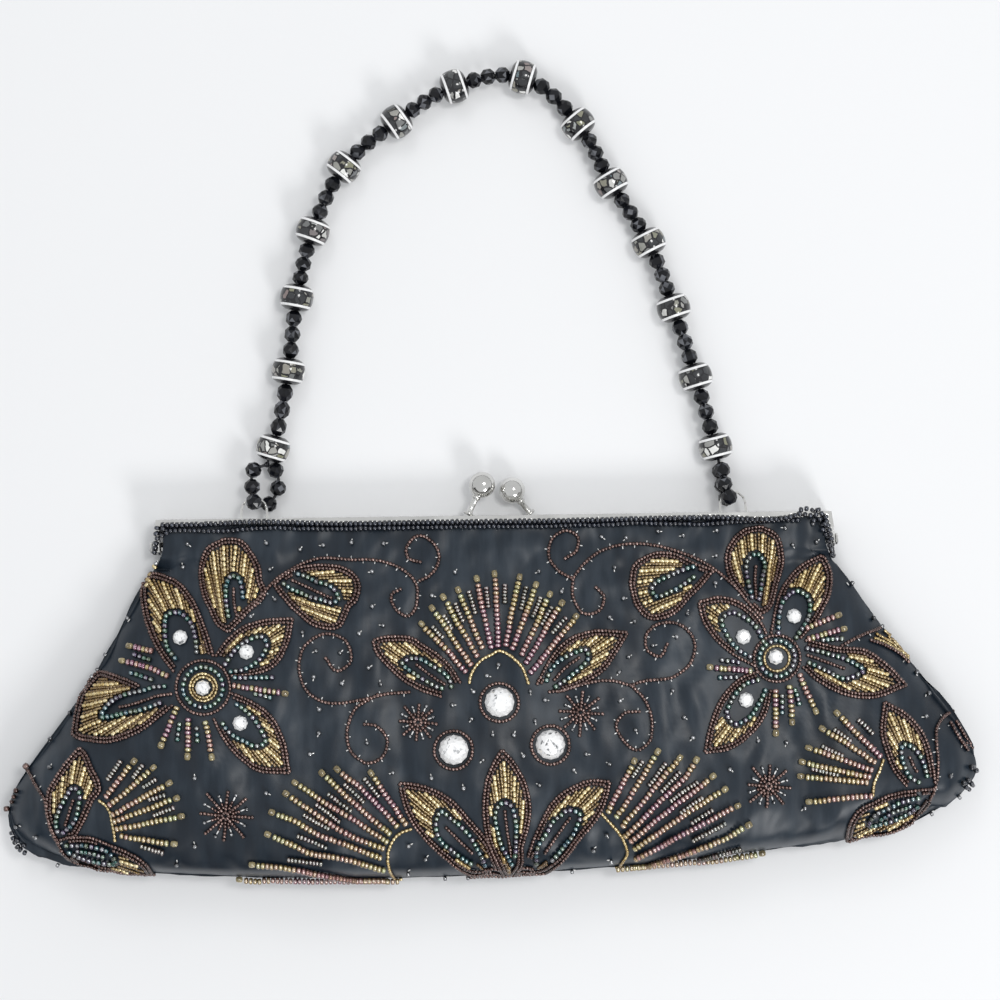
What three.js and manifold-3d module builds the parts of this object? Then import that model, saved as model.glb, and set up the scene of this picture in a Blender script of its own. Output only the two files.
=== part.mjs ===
// A beaded evening bag with a kiss-lock frame, lying on its back with its bead handle laid out above it.
// Millimetres. X runs along the frame, Y from the bag's bottom up to the handle, and Z up from the surface
// that it lies on. The origin is on that surface, under the middle of the bag's back.
import * as THREE from "three";
import { mergeVertices } from "three/addons/utils/BufferGeometryUtils.js";
import Module from "manifold-3d";

const wasm = await Module();
wasm.setup();

// Clearance between neighbouring pieces, and the sides of round metal
const GAP = 0.3;
const ROUND = 10;
const BALL_SIDES = [14, 8];
const KNOT_SIDES = [8, 5];

// Satin panels
const CLOTH = 1.5;
const FRONT_GRID = { columns: 25, rows: 14 };
const BACK_GRID = { columns: 18, rows: 10 };
const FRONT_SHOULDER = { side: 40, end: 0.22 };
const BACK_SHOULDER = { side: 17, end: 0.13 };
const FRONT_DOME = 0.12;
const SEAM_GAP = 0.3;

// Frame, closed: two halves that meet at its middle plane
const FRAME = { width: 193.5, top: 51, middle: 5.4, split: 0.2, deep: 5.0 };
const RIM_TALL = 1.3;
const WEB = { tall: 6.0, thick: 1.7 };
const LEG = { end: 46.4, flare: 0.7, hold: 10 };
const HINGE = { y: 43.0, rivet: 1.0, head: 1.7, headThick: 0.7 };
const EAR = { radius: 2.3, thick: 0.8, first: 96.2, root: 1.2, rootDrop: 0.4 };
const EYE = { x: 68.9, width: 7.4, tall: 6.3, z: 6.6, wire: 0.8, wireSides: 6, bends: 6, steps: 10 };

// Kiss-lock knobs: foot on the rim, slanting stem with a collar, ball
const KNOB = { ball: 3.8, stem: 0.85, collar: 1.25, collarThick: 0.9, foot: 1.5, footThick: 0.6, tenon: 0.8 };
const KNOBS = [
  { name: "clasp_knob_front", half: 1, footX: -7.3, ball: [-3.2, 59.8, 6.6] },
  { name: "clasp_knob_back", half: -1, footX: 10.7, ball: [5.4, 58.2, 4.2] },
];

// Handle: inlaid beads with three black beads between them, on a thread that ends in two loops
const INLAID = { radius: 4.85, length: 7.4, end: 2.7, bore: 1.2, barrel: 1.7, sides: 10 };
const BLACK = { radius: 2.15, length: 4.05, end: 1.0, flat: 0.7, sides: 10, between: 3 };
const THREAD = 0.45;
const KNOT = 0.85;
const HANDLE_Z = 4.9;

// Rhinestones with a flat back, a girdle, one or two rows of crown facets and a table
const STONE = { girdle: 0.16, table: 0.5 };
const LARGE_STONE = { radius: 4.2, tall: 2.6, sides: 12, shoulders: [{ out: 0.8, up: 0.66 }] };
const SMALL_STONE = { radius: 2.2, tall: 1.7, sides: 10, shoulders: [] };

// Sections of the bag, from the lip in the frame down to the bottom edge. Each runs from its left end to its
// right end (X, Y) with its middle hanging bow below them. crown is the front's height in the middle, seam the
// height of the edge where front and back meet, rest the underside, and joined tells if the two are sewn there.
const SECTIONS = [
  { left: [-95.0, 49.3], right: [95.0, 49.3], bow: 0.0, crown: 9.2, seam: 5.4, rest: 1.6, joined: 0 },
  { left: [-95.1, 41.8], right: [95.1, 41.8], bow: 0.5, crown: 11.6, seam: 5.4, rest: 0.6, joined: 0 },
  { left: [-97.3, 37.6], right: [97.0, 37.4], bow: 1.0, crown: 13.3, seam: 5.8, rest: 0, joined: 1 },
  { left: [-102.6, 30.0], right: [102.2, 30.0], bow: 2.4, crown: 16.2, seam: 6.8, rest: 0, joined: 1 },
  { left: [-108.0, 18.0], right: [111.0, 18.0], bow: 4.0, crown: 19.5, seam: 8.0, rest: 0, joined: 1 },
  { left: [-119.0, 0.5], right: [122.5, 2.0], bow: 6.0, crown: 22.5, seam: 9.0, rest: 0, joined: 1 },
  { left: [-131.0, -16.0], right: [132.5, -9.5], bow: 7.0, crown: 24.5, seam: 9.5, rest: 0, joined: 1 },
  { left: [-139.5, -30.5], right: [137.2, -23.5], bow: 7.0, crown: 25.0, seam: 9.5, rest: 0, joined: 1 },
  { left: [-137.5, -42.0], right: [130.5, -32.5], bow: 7.5, crown: 24.2, seam: 9.0, rest: 0, joined: 1 },
  { left: [-124.0, -48.0], right: [114.0, -40.8], bow: 7.6, crown: 23.0, seam: 9.0, rest: 0, joined: 1 },
];

// Soft folds in the front: at is the place across (-1 to 1), from and to the stretch down the bag (0 to 1)
const FOLDS = [
  { at: -0.86, from: 0.04, to: 0.5, wide: 0.07, deep: 1.5 },
  { at: -0.55, from: 0.02, to: 0.42, wide: 0.06, deep: 1.0 },
  { at: -0.2, from: 0.3, to: 0.95, wide: 0.06, deep: 1.1 },
  { at: 0.12, from: 0.45, to: 1.0, wide: 0.05, deep: 1.2 },
  { at: 0.42, from: 0.02, to: 0.6, wide: 0.06, deep: 1.1 },
  { at: 0.62, from: 0.4, to: 1.0, wide: 0.06, deep: 1.6 },
  { at: 0.85, from: 0.02, to: 0.45, wide: 0.07, deep: 1.5 },
];

// Where the thread runs in the handle: its left knot, the inlaid beads one by one, and its right knot
const HANDLE_ROUTE = [
  { x: -65.3, y: 66.5 },
  { x: -63.4, y: 71.2 },
  { x: -58.7, y: 93.4 },
  { x: -56.0, y: 114.6 },
  { x: -51.1, y: 133.7 },
  { x: -41.9, y: 152.1 },
  { x: -26.5, y: 165.0 },
  { x: -9.7, y: 174.9 },
  { x: 10.1, y: 177.3 },
  { x: 25.9, y: 163.6 },
  { x: 35.1, y: 146.4 },
  { x: 45.8, y: 129.1 },
  { x: 52.7, y: 110.2 },
  { x: 58.8, y: 90.2 },
  { x: 64.3, y: 69.9 },
  { x: 65.4, y: 64.8 },
];

// The black beads of each end loop, in order round it from the knot through the frame's eye and back
const LEFT_LOOP = [
  { x: -69.1, y: 65.0, z: 5.6 },
  { x: -69.3, y: 60.1, z: 7.6 },
  { x: -68.7, y: 55.8, z: 9.4 },
  { x: -64.9, y: 55.1, z: 3.5 },
  { x: -62.3, y: 59.7, z: 2.9 },
  { x: -62.9, y: 64.9, z: 3.3 },
];
const RIGHT_LOOP = [
  { x: 65.9, y: 63.2, z: 7.0 },
  { x: 66.4, y: 59.2, z: 8.5 },
  { x: 67.6, y: 55.4, z: 9.3 },
  { x: 67.4, y: 55.1, z: 3.4 },
  { x: 66.3, y: 58.9, z: 2.3 },
  { x: 65.7, y: 62.9, z: 2.4 },
];

// Rhinestones on the front, as plan positions
const STONES = [
  { name: "stone_centre_top", x: 1.0, y: -1.6, size: LARGE_STONE },
  { name: "stone_centre_left", x: -12.0, y: -14.6, size: LARGE_STONE },
  { name: "stone_centre_right", x: 15.1, y: -13.6, size: LARGE_STONE },
  { name: "stone_left_flower", x: -82.6, y: 3.4, size: SMALL_STONE },
  { name: "stone_left_petal_outer", x: -89.3, y: 17.4, size: SMALL_STONE },
  { name: "stone_left_petal_upper", x: -70.3, y: 13.3, size: SMALL_STONE },
  { name: "stone_left_petal_lower", x: -72.0, y: -6.5, size: SMALL_STONE },
  { name: "stone_right_flower", x: 79.2, y: 9.9, size: SMALL_STONE },
  { name: "stone_right_petal_outer", x: 84.8, y: 21.1, size: SMALL_STONE },
  { name: "stone_right_petal_upper", x: 70.2, y: 15.7, size: SMALL_STONE },
  { name: "stone_right_petal_lower", x: 70.4, y: -2.0, size: SMALL_STONE },
];

// Finishes
const finish = (color, roughness, metalness, flatShading = false) =>
  new THREE.MeshStandardMaterial({ color, roughness, metalness, flatShading });
const satin = finish(0x14161b, 0.55, 0);
const nickel = finish(0xd8d6d0, 0.16, 1);
const jet = finish(0x0c0d11, 0.12, 0, true);
const shell = finish(0x2a2d2e, 0.15, 0);
const crystal = finish(0xe9eef2, 0.05, 0.6, true);

const bag = new THREE.Group();

function addPiece(name, geometry, material) {
  const mesh = new THREE.Mesh(geometry, material);
  mesh.name = name;
  bag.add(mesh);
  return mesh;
}

// Joining and cutting

function solidFrom(geometry) {
  const bare = geometry.clone();
  bare.deleteAttribute("normal");
  bare.deleteAttribute("uv");
  const welded = mergeVertices(bare, 1e-4);
  return new wasm.Manifold(
    new wasm.Mesh({
      numProp: 3,
      vertProperties: welded.attributes.position.array,
      triVerts: new Uint32Array(welded.index.array),
    }),
  );
}

function geometryFrom(solid) {
  const mesh = solid.getMesh();
  const geometry = new THREE.BufferGeometry();
  geometry.setAttribute("position", new THREE.BufferAttribute(new Float32Array(mesh.vertProperties), 3));
  geometry.setIndex(new THREE.BufferAttribute(new Uint32Array(mesh.triVerts), 1));
  geometry.computeVertexNormals();
  return geometry;
}

function joinAll(solids) {
  return solids.reduce((whole, solid) => whole.add(solid));
}

// The axis of three.js cylinders and lathes
const AXIS = new THREE.Vector3(0, 1, 0);

// Places a geometry whose axis is +Y so that it points along a direction, with its origin at a point.
function pointed(geometry, at, direction) {
  const turn = new THREE.Quaternion().setFromUnitVectors(AXIS, direction.clone().normalize());
  return geometry.clone().applyQuaternion(turn).translate(at.x, at.y, at.z);
}

// A round bar from one point to another
function bar(from, to, radius, sides) {
  const run = to.clone().sub(from);
  const geometry = new THREE.CylinderGeometry(radius, radius, run.length(), sides);
  return pointed(geometry, from.clone().addScaledVector(run, 0.5), run);
}

// A round wire along a curve
function tube(curve, radius, sides, steps) {
  const section = new THREE.Shape();
  for (let i = 0; i < sides; i++) {
    const angle = (2 * Math.PI * i) / sides;
    const place = [radius * Math.cos(angle), radius * Math.sin(angle)];
    if (i === 0) section.moveTo(...place);
    else section.lineTo(...place);
  }
  section.closePath();
  return new THREE.ExtrudeGeometry(section, { steps, extrudePath: curve, bevelEnabled: false });
}

// Pouch: front and back panels, from the table of sections

// One column of the table as a smooth function of the way down the bag (v, 0 to 1)
function column(value) {
  const curve = new THREE.CatmullRomCurve3(SECTIONS.map((row, i) => new THREE.Vector3(i, value(row), 0)));
  return (v) => curve.getPoint(v).y;
}

const section = {
  leftX: column((row) => row.left[0]),
  leftY: column((row) => row.left[1]),
  rightX: column((row) => row.right[0]),
  rightY: column((row) => row.right[1]),
  bow: column((row) => row.bow),
  crown: column((row) => row.crown),
  seam: column((row) => row.seam),
  rest: column((row) => row.rest),
  joined: column((row) => row.joined),
};
const clamp = (value) => Math.min(1, Math.max(0, value));

// The plan position of a point across (u, -1 to 1) and down (v) the bag, taken in from the edge by inset.
function plan(u, v, inset, end) {
  const left = section.leftX(v) + inset;
  const right = section.rightX(v) - inset;
  const share = (u + 1) / 2;
  const y = section.leftY(v) + (section.rightY(v) - section.leftY(v)) * share;
  return { x: left + (right - left) * share, y: y - section.bow(v) * (1 - u * u) + inset * end };
}

// How far round the shoulder a point is: 0 on the broad face, 1 at the seam.
function shoulder(u, v, joined, shape) {
  const half = (section.rightX(v) - section.leftX(v)) / 2;
  const side = clamp((Math.abs(u) - 1) * (half / shape.side) + 1) * joined;
  const end = clamp((v - 1) / shape.end + 1);
  return { round: Math.sqrt(1 - clamp(side * side + end * end)), end };
}

// How firmly the frame's leg holds the cloth at the lip's height: 1 at the leg, 0 away from it or below it.
const legHold = (u, joined) => Math.abs(u) ** LEG.hold * (1 - joined);

function foldDepth(u, v) {
  return FOLDS.reduce((sum, fold) => {
    const run = clamp((v - fold.from) / (fold.to - fold.from));
    const across = (u - fold.at) / fold.wide;
    return sum + fold.deep * Math.sin(Math.PI * run) * Math.exp(-across * across);
  }, 0);
}

function frontPoint(u, v, inset) {
  const joined = clamp(section.joined(v));
  const { round, end } = shoulder(u, v, joined, FRONT_SHOULDER);
  const lip = SECTIONS[0].crown - inset;
  const edge = lip + (section.seam(v) + SEAM_GAP / 2 - lip) * joined;
  const free = section.crown(v) * (1 - FRONT_DOME * u * u * joined) - inset - foldDepth(u, v);
  const top = free + (lip - free) * legHold(u, joined);
  const { x, y } = plan(u, v, inset, end);
  return new THREE.Vector3(x, y, edge + (top - edge) * round);
}

function backPoint(u, v, inset) {
  const joined = clamp(section.joined(v));
  const { round, end } = shoulder(u, v, joined, BACK_SHOULDER);
  const lip = SECTIONS[0].rest + inset;
  const edge = lip + (section.seam(v) - SEAM_GAP / 2 - lip) * joined;
  const free = Math.max(0, section.rest(v)) + inset;
  const under = free + (lip - free) * legHold(u, joined);
  const { x, y } = plan(u, v, inset, end);
  return new THREE.Vector3(x, y, edge + (under - edge) * round);
}

// Grid lines that crowd towards the frame and the seams, where the cloth turns.
const acrossAt = (share) => 0.55 * (2 * share - 1) + 0.45 * Math.sin(Math.PI * (share - 0.5));
const downAt = (share) => 0.5 * share + 0.25 * (1 - Math.cos(Math.PI * share));

// A closed wall between an upper and a lower surface, which share their grid.
function wall(upper, lower, { columns, rows }) {
  const across = columns + 1;
  const layer = across * (rows + 1);
  const points = [];
  for (const surface of [upper, lower]) {
    for (let j = 0; j <= rows; j++) {
      for (let i = 0; i <= columns; i++) points.push(surface(acrossAt(i / columns), downAt(j / rows)));
    }
  }
  const index = [];
  for (let j = 0; j < rows; j++) {
    for (let i = 0; i < columns; i++) {
      const a = j * across + i;
      const b = a + across;
      index.push(a, b, b + 1, a, b + 1, a + 1);
      index.push(layer + a, layer + b + 1, layer + b, layer + a, layer + a + 1, layer + b + 1);
    }
  }
  const rim = [];
  for (let i = 0; i < columns; i++) rim.push(rows * across + i);
  for (let j = rows; j > 0; j--) rim.push(j * across + columns);
  for (let i = columns; i > 0; i--) rim.push(i);
  for (let j = 0; j < rows; j++) rim.push(j * across);
  rim.forEach((a, k) => {
    const b = rim[(k + 1) % rim.length];
    index.push(layer + a, layer + b, b, layer + a, b, a);
  });
  const geometry = new THREE.BufferGeometry().setFromPoints(points);
  geometry.setIndex(index);
  geometry.computeVertexNormals();
  return geometry;
}

const frontOuter = (u, v) => frontPoint(u, v, 0);
const frontInner = (u, v) => frontPoint(u, v, CLOTH);
const backOuter = (u, v) => backPoint(u, v, 0);
const backInner = (u, v) => backPoint(u, v, CLOTH);
addPiece("front_panel", wall(frontOuter, frontInner, FRONT_GRID), satin);
addPiece("back_panel", wall(backInner, backOuter, BACK_GRID), satin);

// Frame: each half is a rim over the cloth's edge and a web behind it, with an ear at each end for the hinge

function archBand(band, low, deep) {
  const half = FRAME.width / 2;
  const foot = half + LEG.flare;
  const shape = new THREE.Shape();
  shape.moveTo(-foot, LEG.end);
  shape.lineTo(-foot + band, LEG.end);
  shape.lineTo(-half + band, FRAME.top - band);
  shape.lineTo(half - band, FRAME.top - band);
  shape.lineTo(foot - band, LEG.end);
  shape.lineTo(foot, LEG.end);
  shape.lineTo(half, FRAME.top);
  shape.lineTo(-half, FRAME.top);
  shape.closePath();
  return new THREE.ExtrudeGeometry(shape, { depth: deep, bevelEnabled: false }).translate(0, 0, low);
}

function box(oneX, otherX, lowY, highY, lowZ, highZ) {
  const geometry = new THREE.BoxGeometry(Math.abs(otherX - oneX), highY - lowY, highZ - lowZ);
  return geometry.translate((oneX + otherX) / 2, (lowY + highY) / 2, (lowZ + highZ) / 2);
}

// The ear of one half at one end (side -1 or 1): a disc round the hinge axis and a plate rooted in the leg
function ear(half, side) {
  const inner = EAR.first + (half > 0 ? 0 : EAR.thick + GAP);
  const outer = inner + EAR.thick;
  const low = half > 0 ? FRAME.middle + FRAME.split : FRAME.middle - FRAME.split - EAR.radius;
  const high = low + EAR.radius;
  const rootLow = LEG.end - EAR.rootDrop;
  const rootHigh = rootLow + EAR.root;
  const at = (x) => new THREE.Vector3(side * x, HINGE.y, FRAME.middle);
  const disc = bar(at(inner), at(outer), EAR.radius, ROUND);
  const plate = box(side * inner, side * outer, HINGE.y, rootHigh, low, high);
  const root = box(side * EAR.first, side * outer, rootLow, rootHigh, low, high);
  return [disc, plate, root].map(solidFrom);
}

function rivetHole(side) {
  const at = (x) => new THREE.Vector3(side * x, HINGE.y, FRAME.middle);
  const reach = 4 * EAR.thick;
  return solidFrom(bar(at(EAR.first - reach), at(EAR.first + reach), HINGE.rivet + GAP, ROUND));
}

const knobFootZ = (half) => FRAME.middle + half * (FRAME.split + FRAME.deep / 2);

// The handle's eye: a wire arch soldered to the top of the rim.
function handleEye(side) {
  const reach = EYE.width / 2;
  const centre = EYE.tall - EYE.wire / 2 - reach;
  const points = [new THREE.Vector3(-reach, -RIM_TALL / 2, 0), new THREE.Vector3(-reach, centre / 2, 0)];
  for (let i = 0; i <= EYE.bends; i++) {
    const angle = Math.PI * (1 - i / EYE.bends);
    points.push(new THREE.Vector3(reach * Math.cos(angle), centre + reach * Math.sin(angle), 0));
  }
  points.push(new THREE.Vector3(reach, centre / 2, 0), new THREE.Vector3(reach, -RIM_TALL / 2, 0));
  const wire = tube(new THREE.CatmullRomCurve3(points), EYE.wire / 2, EYE.wireSides, EYE.steps);
  return solidFrom(wire.translate(side * EYE.x, FRAME.top, EYE.z));
}

function frameHalf(half) {
  const low = half > 0 ? FRAME.middle + FRAME.split : FRAME.middle - FRAME.split - FRAME.deep;
  const webLow = half > 0 ? low : low + FRAME.deep - WEB.thick;
  const bands = [archBand(RIM_TALL, low, FRAME.deep), archBand(WEB.tall, webLow, WEB.thick)];
  const solids = bands.map(solidFrom);
  for (const side of [-1, 1]) {
    solids.push(...ear(half, side));
    if (half > 0) solids.push(handleEye(side));
  }
  let whole = joinAll(solids);
  for (const side of [-1, 1]) whole = whole.subtract(rivetHole(side));
  const knob = KNOBS.find((one) => one.half === half);
  const down = new THREE.Vector3(knob.footX, FRAME.top - 2 * RIM_TALL, knobFootZ(half));
  const up = new THREE.Vector3(knob.footX, FRAME.top + RIM_TALL, knobFootZ(half));
  const drilled = whole.subtract(solidFrom(bar(down, up, KNOB.tenon + GAP, ROUND)));
  return geometryFrom(drilled);
}

addPiece("frame_front", frameHalf(1), nickel);
addPiece("frame_back", frameHalf(-1), nickel);

function hingeRivet(side) {
  const at = (x) => new THREE.Vector3(side * x, HINGE.y, FRAME.middle);
  const inner = EAR.first - GAP;
  const outer = EAR.first + 2 * EAR.thick + 2 * GAP;
  const shaft = bar(at(inner - HINGE.headThick / 2), at(outer + HINGE.headThick / 2), HINGE.rivet, ROUND);
  const heads = [
    bar(at(inner - HINGE.headThick), at(inner), HINGE.head, ROUND),
    bar(at(outer), at(outer + HINGE.headThick), HINGE.head, ROUND),
  ];
  return geometryFrom(joinAll([shaft, ...heads].map(solidFrom)));
}

addPiece("hinge_rivet_left", hingeRivet(-1), nickel);
addPiece("hinge_rivet_right", hingeRivet(1), nickel);

// Kiss-lock knobs

function claspKnob({ half, footX, ball }) {
  const footZ = knobFootZ(half);
  const top = FRAME.top + GAP;
  const foot = new THREE.Vector3(footX, top + KNOB.footThick, footZ);
  const centre = new THREE.Vector3(...ball);
  const lean = centre.clone().sub(foot).normalize();
  const neck = centre.clone().addScaledVector(lean, -KNOB.ball - KNOB.collarThick / 2);
  const collarEnd = neck.clone().addScaledVector(lean, KNOB.collarThick);
  const pieces = [
    new THREE.SphereGeometry(KNOB.ball, ...BALL_SIDES).translate(centre.x, centre.y, centre.z),
    bar(foot.clone().addScaledVector(lean, -KNOB.footThick / 2), centre, KNOB.stem, ROUND),
    bar(neck, collarEnd, KNOB.collar, ROUND),
    bar(new THREE.Vector3(footX, top, footZ), foot, KNOB.foot, ROUND),
    bar(new THREE.Vector3(footX, FRAME.top - RIM_TALL, footZ), foot, KNOB.tenon, ROUND),
  ];
  return geometryFrom(joinAll(pieces.map(solidFrom)));
}

for (const knob of KNOBS) addPiece(knob.name, claspKnob(knob), nickel);

// Handle

const route = new THREE.CatmullRomCurve3(HANDLE_ROUTE.map(({ x, y }) => new THREE.Vector3(x, y, HANDLE_Z)));
const ROUTE_STEPS = 100;
route.arcLengthDivisions = ROUTE_STEPS * (HANDLE_ROUTE.length - 1);
const routeLengths = route.getLengths();
const routeLength = route.getLength();

// Each inlaid bead's distance along the thread
const inlaidAt = HANDLE_ROUTE.slice(1, -1).map((_, i) => routeLengths[ROUTE_STEPS * (i + 1)]);

function alongRoute(distance) {
  const share = distance / routeLength;
  return { at: route.getPointAt(share), direction: route.getTangentAt(share) };
}

function inlaidBead() {
  const { radius, length, end, bore, barrel, sides } = INLAID;
  const profile = [
    new THREE.Vector2(bore, -length / 2),
    new THREE.Vector2(end, -length / 2),
    new THREE.Vector2(radius, -barrel),
    new THREE.Vector2(radius, barrel),
    new THREE.Vector2(end, length / 2),
    new THREE.Vector2(bore, length / 2),
    new THREE.Vector2(bore, -length / 2),
  ];
  return new THREE.LatheGeometry(profile, sides);
}

const inlaidGeometry = inlaidBead();
inlaidAt.forEach((distance, i) => {
  const { at, direction } = alongRoute(distance);
  const bead = addPiece(`inlaid_bead_${String(i + 1).padStart(2, "0")}`, inlaidGeometry, shell);
  bead.position.copy(at);
  bead.quaternion.setFromUnitVectors(AXIS, direction);
});

// A solid of round sections strung along a curve. Each stop has its distance along the curve and its radius.
function strung(curve, stops, sides) {
  const length = curve.getLength();
  const points = [];
  const side = new THREE.Vector3(0, 0, 1);
  for (const { at, radius } of stops) {
    const centre = curve.getPointAt(clamp(at / length));
    const tangent = curve.getTangentAt(clamp(at / length));
    side.addScaledVector(tangent, -side.dot(tangent)).normalize();
    const other = tangent.clone().cross(side);
    for (let i = 0; i < sides; i++) {
      const angle = (2 * Math.PI * i) / sides;
      const spoke = side.clone().multiplyScalar(Math.cos(angle)).addScaledVector(other, Math.sin(angle));
      points.push(centre.clone().addScaledVector(spoke, radius));
    }
  }
  const index = [];
  for (let ring = 0; ring < stops.length - 1; ring++) {
    for (let i = 0; i < sides; i++) {
      const a = ring * sides + i;
      const b = ring * sides + ((i + 1) % sides);
      index.push(a, b, b + sides, a, b + sides, a + sides);
    }
  }
  const last = (stops.length - 1) * sides;
  for (let i = 1; i < sides - 1; i++) {
    index.push(0, i + 1, i);
    index.push(last, last + i, last + i + 1);
  }
  const geometry = new THREE.BufferGeometry().setFromPoints(points);
  geometry.setIndex(index);
  return geometry;
}

// The stops of one black bead, centred at a distance along the thread
function blackBead(centre, length) {
  return [
    { at: centre - length / 2, radius: BLACK.end },
    { at: centre - BLACK.flat, radius: BLACK.radius },
    { at: centre + BLACK.flat, radius: BLACK.radius },
    { at: centre + length / 2, radius: BLACK.end },
  ];
}

// The main thread: neighbouring black beads share an end, and bare thread runs through the inlaid beads.
function mainStops() {
  const stops = [{ at: 0, radius: THREAD }];
  for (let i = 0; i < inlaidAt.length - 1; i++) {
    const start = inlaidAt[i] + INLAID.length / 2 + GAP;
    const end = inlaidAt[i + 1] - INLAID.length / 2 - GAP;
    const length = (end - start) / BLACK.between;
    stops.push({ at: start, radius: THREAD });
    for (let k = 0; k < BLACK.between; k++) {
      const bead = blackBead(start + length * (k + 0.5), length);
      stops.push(...(k === 0 ? bead : bead.slice(1)));
    }
    stops.push({ at: end, radius: THREAD });
  }
  stops.push({ at: routeLength, radius: THREAD });
  return stops;
}

// An end loop: from the knot through its black beads and back to the knot
function endLoop(beads, knot) {
  const places = [knot, ...beads.map(({ x, y, z }) => new THREE.Vector3(x, y, z)), knot];
  const curve = new THREE.CatmullRomCurve3(places);
  const divisions = 100;
  const lengths = curve.getLengths(divisions * (places.length - 1));
  const stops = [{ at: 0, radius: THREAD }];
  beads.forEach((bead, k) => {
    const centre = lengths[divisions * (k + 1)];
    stops.push({ at: centre - BLACK.length / 2, radius: THREAD });
    stops.push(...blackBead(centre, BLACK.length));
    stops.push({ at: centre + BLACK.length / 2, radius: THREAD });
  });
  stops.push({ at: curve.getLength(), radius: THREAD });
  return strung(curve, stops, BLACK.sides);
}

function beadString() {
  const [leftKnot, rightKnot] = [HANDLE_ROUTE[0], HANDLE_ROUTE[HANDLE_ROUTE.length - 1]].map(
    ({ x, y }) => new THREE.Vector3(x, y, HANDLE_Z),
  );
  const knots = [leftKnot, rightKnot].map(({ x, y, z }) => {
    return new THREE.SphereGeometry(KNOT, ...KNOT_SIDES).translate(x, y, z);
  });
  const lengths = [
    strung(route, mainStops(), BLACK.sides),
    endLoop(LEFT_LOOP, leftKnot),
    endLoop(RIGHT_LOOP, rightKnot),
  ];
  return geometryFrom(joinAll([...lengths, ...knots].map(solidFrom)));
}

addPiece("black_bead_string", beadString(), jet);

// Rhinestones

function cutStone({ radius, tall, sides, shoulders }) {
  const profile = [
    new THREE.Vector2(0, 0),
    new THREE.Vector2(radius, 0),
    new THREE.Vector2(radius, STONE.girdle * tall),
    ...shoulders.map(({ out, up }) => new THREE.Vector2(out * radius, up * tall)),
    new THREE.Vector2(STONE.table * radius, tall),
    new THREE.Vector2(0, tall),
  ];
  return new THREE.LatheGeometry(profile, sides);
}

// The place on the front over a plan position, and the way the cloth faces there.
function seat(x, y) {
  const uv = (px, py) => {
    let low = 0;
    let high = 1;
    let u = 0;
    for (let i = 0; i < 40; i++) {
      const v = (low + high) / 2;
      const middle = (section.leftX(v) + section.rightX(v)) / 2;
      u = (2 * (px - middle)) / (section.rightX(v) - section.leftX(v));
      const end = clamp((v - 1) / FRONT_SHOULDER.end + 1);
      if (plan(u, v, 0, end).y > py) low = v;
      else high = v;
    }
    return [u, low];
  };
  const height = (px, py) => frontOuter(...uv(px, py)).z;
  const reach = 4;
  const slopeX = (height(x + reach, y) - height(x - reach, y)) / (2 * reach);
  const slopeY = (height(x, y + reach) - height(x, y - reach)) / (2 * reach);
  const normal = new THREE.Vector3(-slopeX, -slopeY, 1).normalize();
  return { at: new THREE.Vector3(x, y, height(x, y)), normal };
}

for (const { name, x, y, size } of STONES) {
  const { at, normal } = seat(x, y);
  const stone = addPiece(name, cutStone(size), crystal);
  stone.position.copy(at).addScaledVector(normal, 2 * GAP);
  stone.quaternion.setFromUnitVectors(AXIS, normal);
}

export default bag;
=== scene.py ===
import math

import bmesh
import bpy
import numpy as np
from mathutils import Matrix, Vector, noise
from mathutils.bvhtree import BVHTree


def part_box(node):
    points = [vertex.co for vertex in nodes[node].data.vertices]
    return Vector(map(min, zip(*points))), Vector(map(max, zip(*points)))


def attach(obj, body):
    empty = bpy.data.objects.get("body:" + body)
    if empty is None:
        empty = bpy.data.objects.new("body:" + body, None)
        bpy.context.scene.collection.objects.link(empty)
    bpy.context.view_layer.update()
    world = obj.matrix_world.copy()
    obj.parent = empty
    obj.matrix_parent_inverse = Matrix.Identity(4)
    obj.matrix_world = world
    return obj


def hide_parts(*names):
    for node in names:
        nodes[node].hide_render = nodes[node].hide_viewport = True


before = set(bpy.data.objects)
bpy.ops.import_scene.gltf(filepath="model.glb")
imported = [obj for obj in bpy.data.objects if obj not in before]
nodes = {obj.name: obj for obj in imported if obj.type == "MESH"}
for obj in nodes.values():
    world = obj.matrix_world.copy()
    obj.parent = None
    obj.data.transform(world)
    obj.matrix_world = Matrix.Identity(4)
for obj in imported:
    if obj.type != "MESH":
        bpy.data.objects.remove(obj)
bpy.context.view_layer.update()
scene = bpy.context.scene
mm = 0.001
rng = np.random.default_rng(1912)
print("frame loaded,", len(nodes), "nodes")


# Camera, looking straight down on the bag

view = {
    "eye": (0.0019, 0.0554, 0.700),
    "roll": -0.7615,        # degrees
    "sensor": 36.0,
    "focal": 2408.0,        # in pixels of the photograph
    "side": 1000.0,         # the photograph's side in pixels
}
eye = Vector(view["eye"])
roll = math.radians(view["roll"])
cameraData = bpy.data.cameras.new("camera")
cameraData.sensor_width = view["sensor"]
cameraData.lens = view["focal"] * view["sensor"] / view["side"]
cameraData.clip_start = 0.01
camera = bpy.data.objects.new("camera", cameraData)
camera.location = eye
camera.rotation_euler = (0, 0, roll)
scene.collection.objects.link(camera)
scene.camera = camera


# Unit direction from the lens through a pixel of the photograph
def throughPixel(spot):
    right = Vector((math.cos(roll), math.sin(roll), 0))
    up = Vector((-math.sin(roll), math.cos(roll), 0))
    middle = view["side"] / 2
    aim = right * (spot[0] - middle) + up * (middle - spot[1]) - Vector((0, 0, view["focal"]))
    return aim.normalized()


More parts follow.
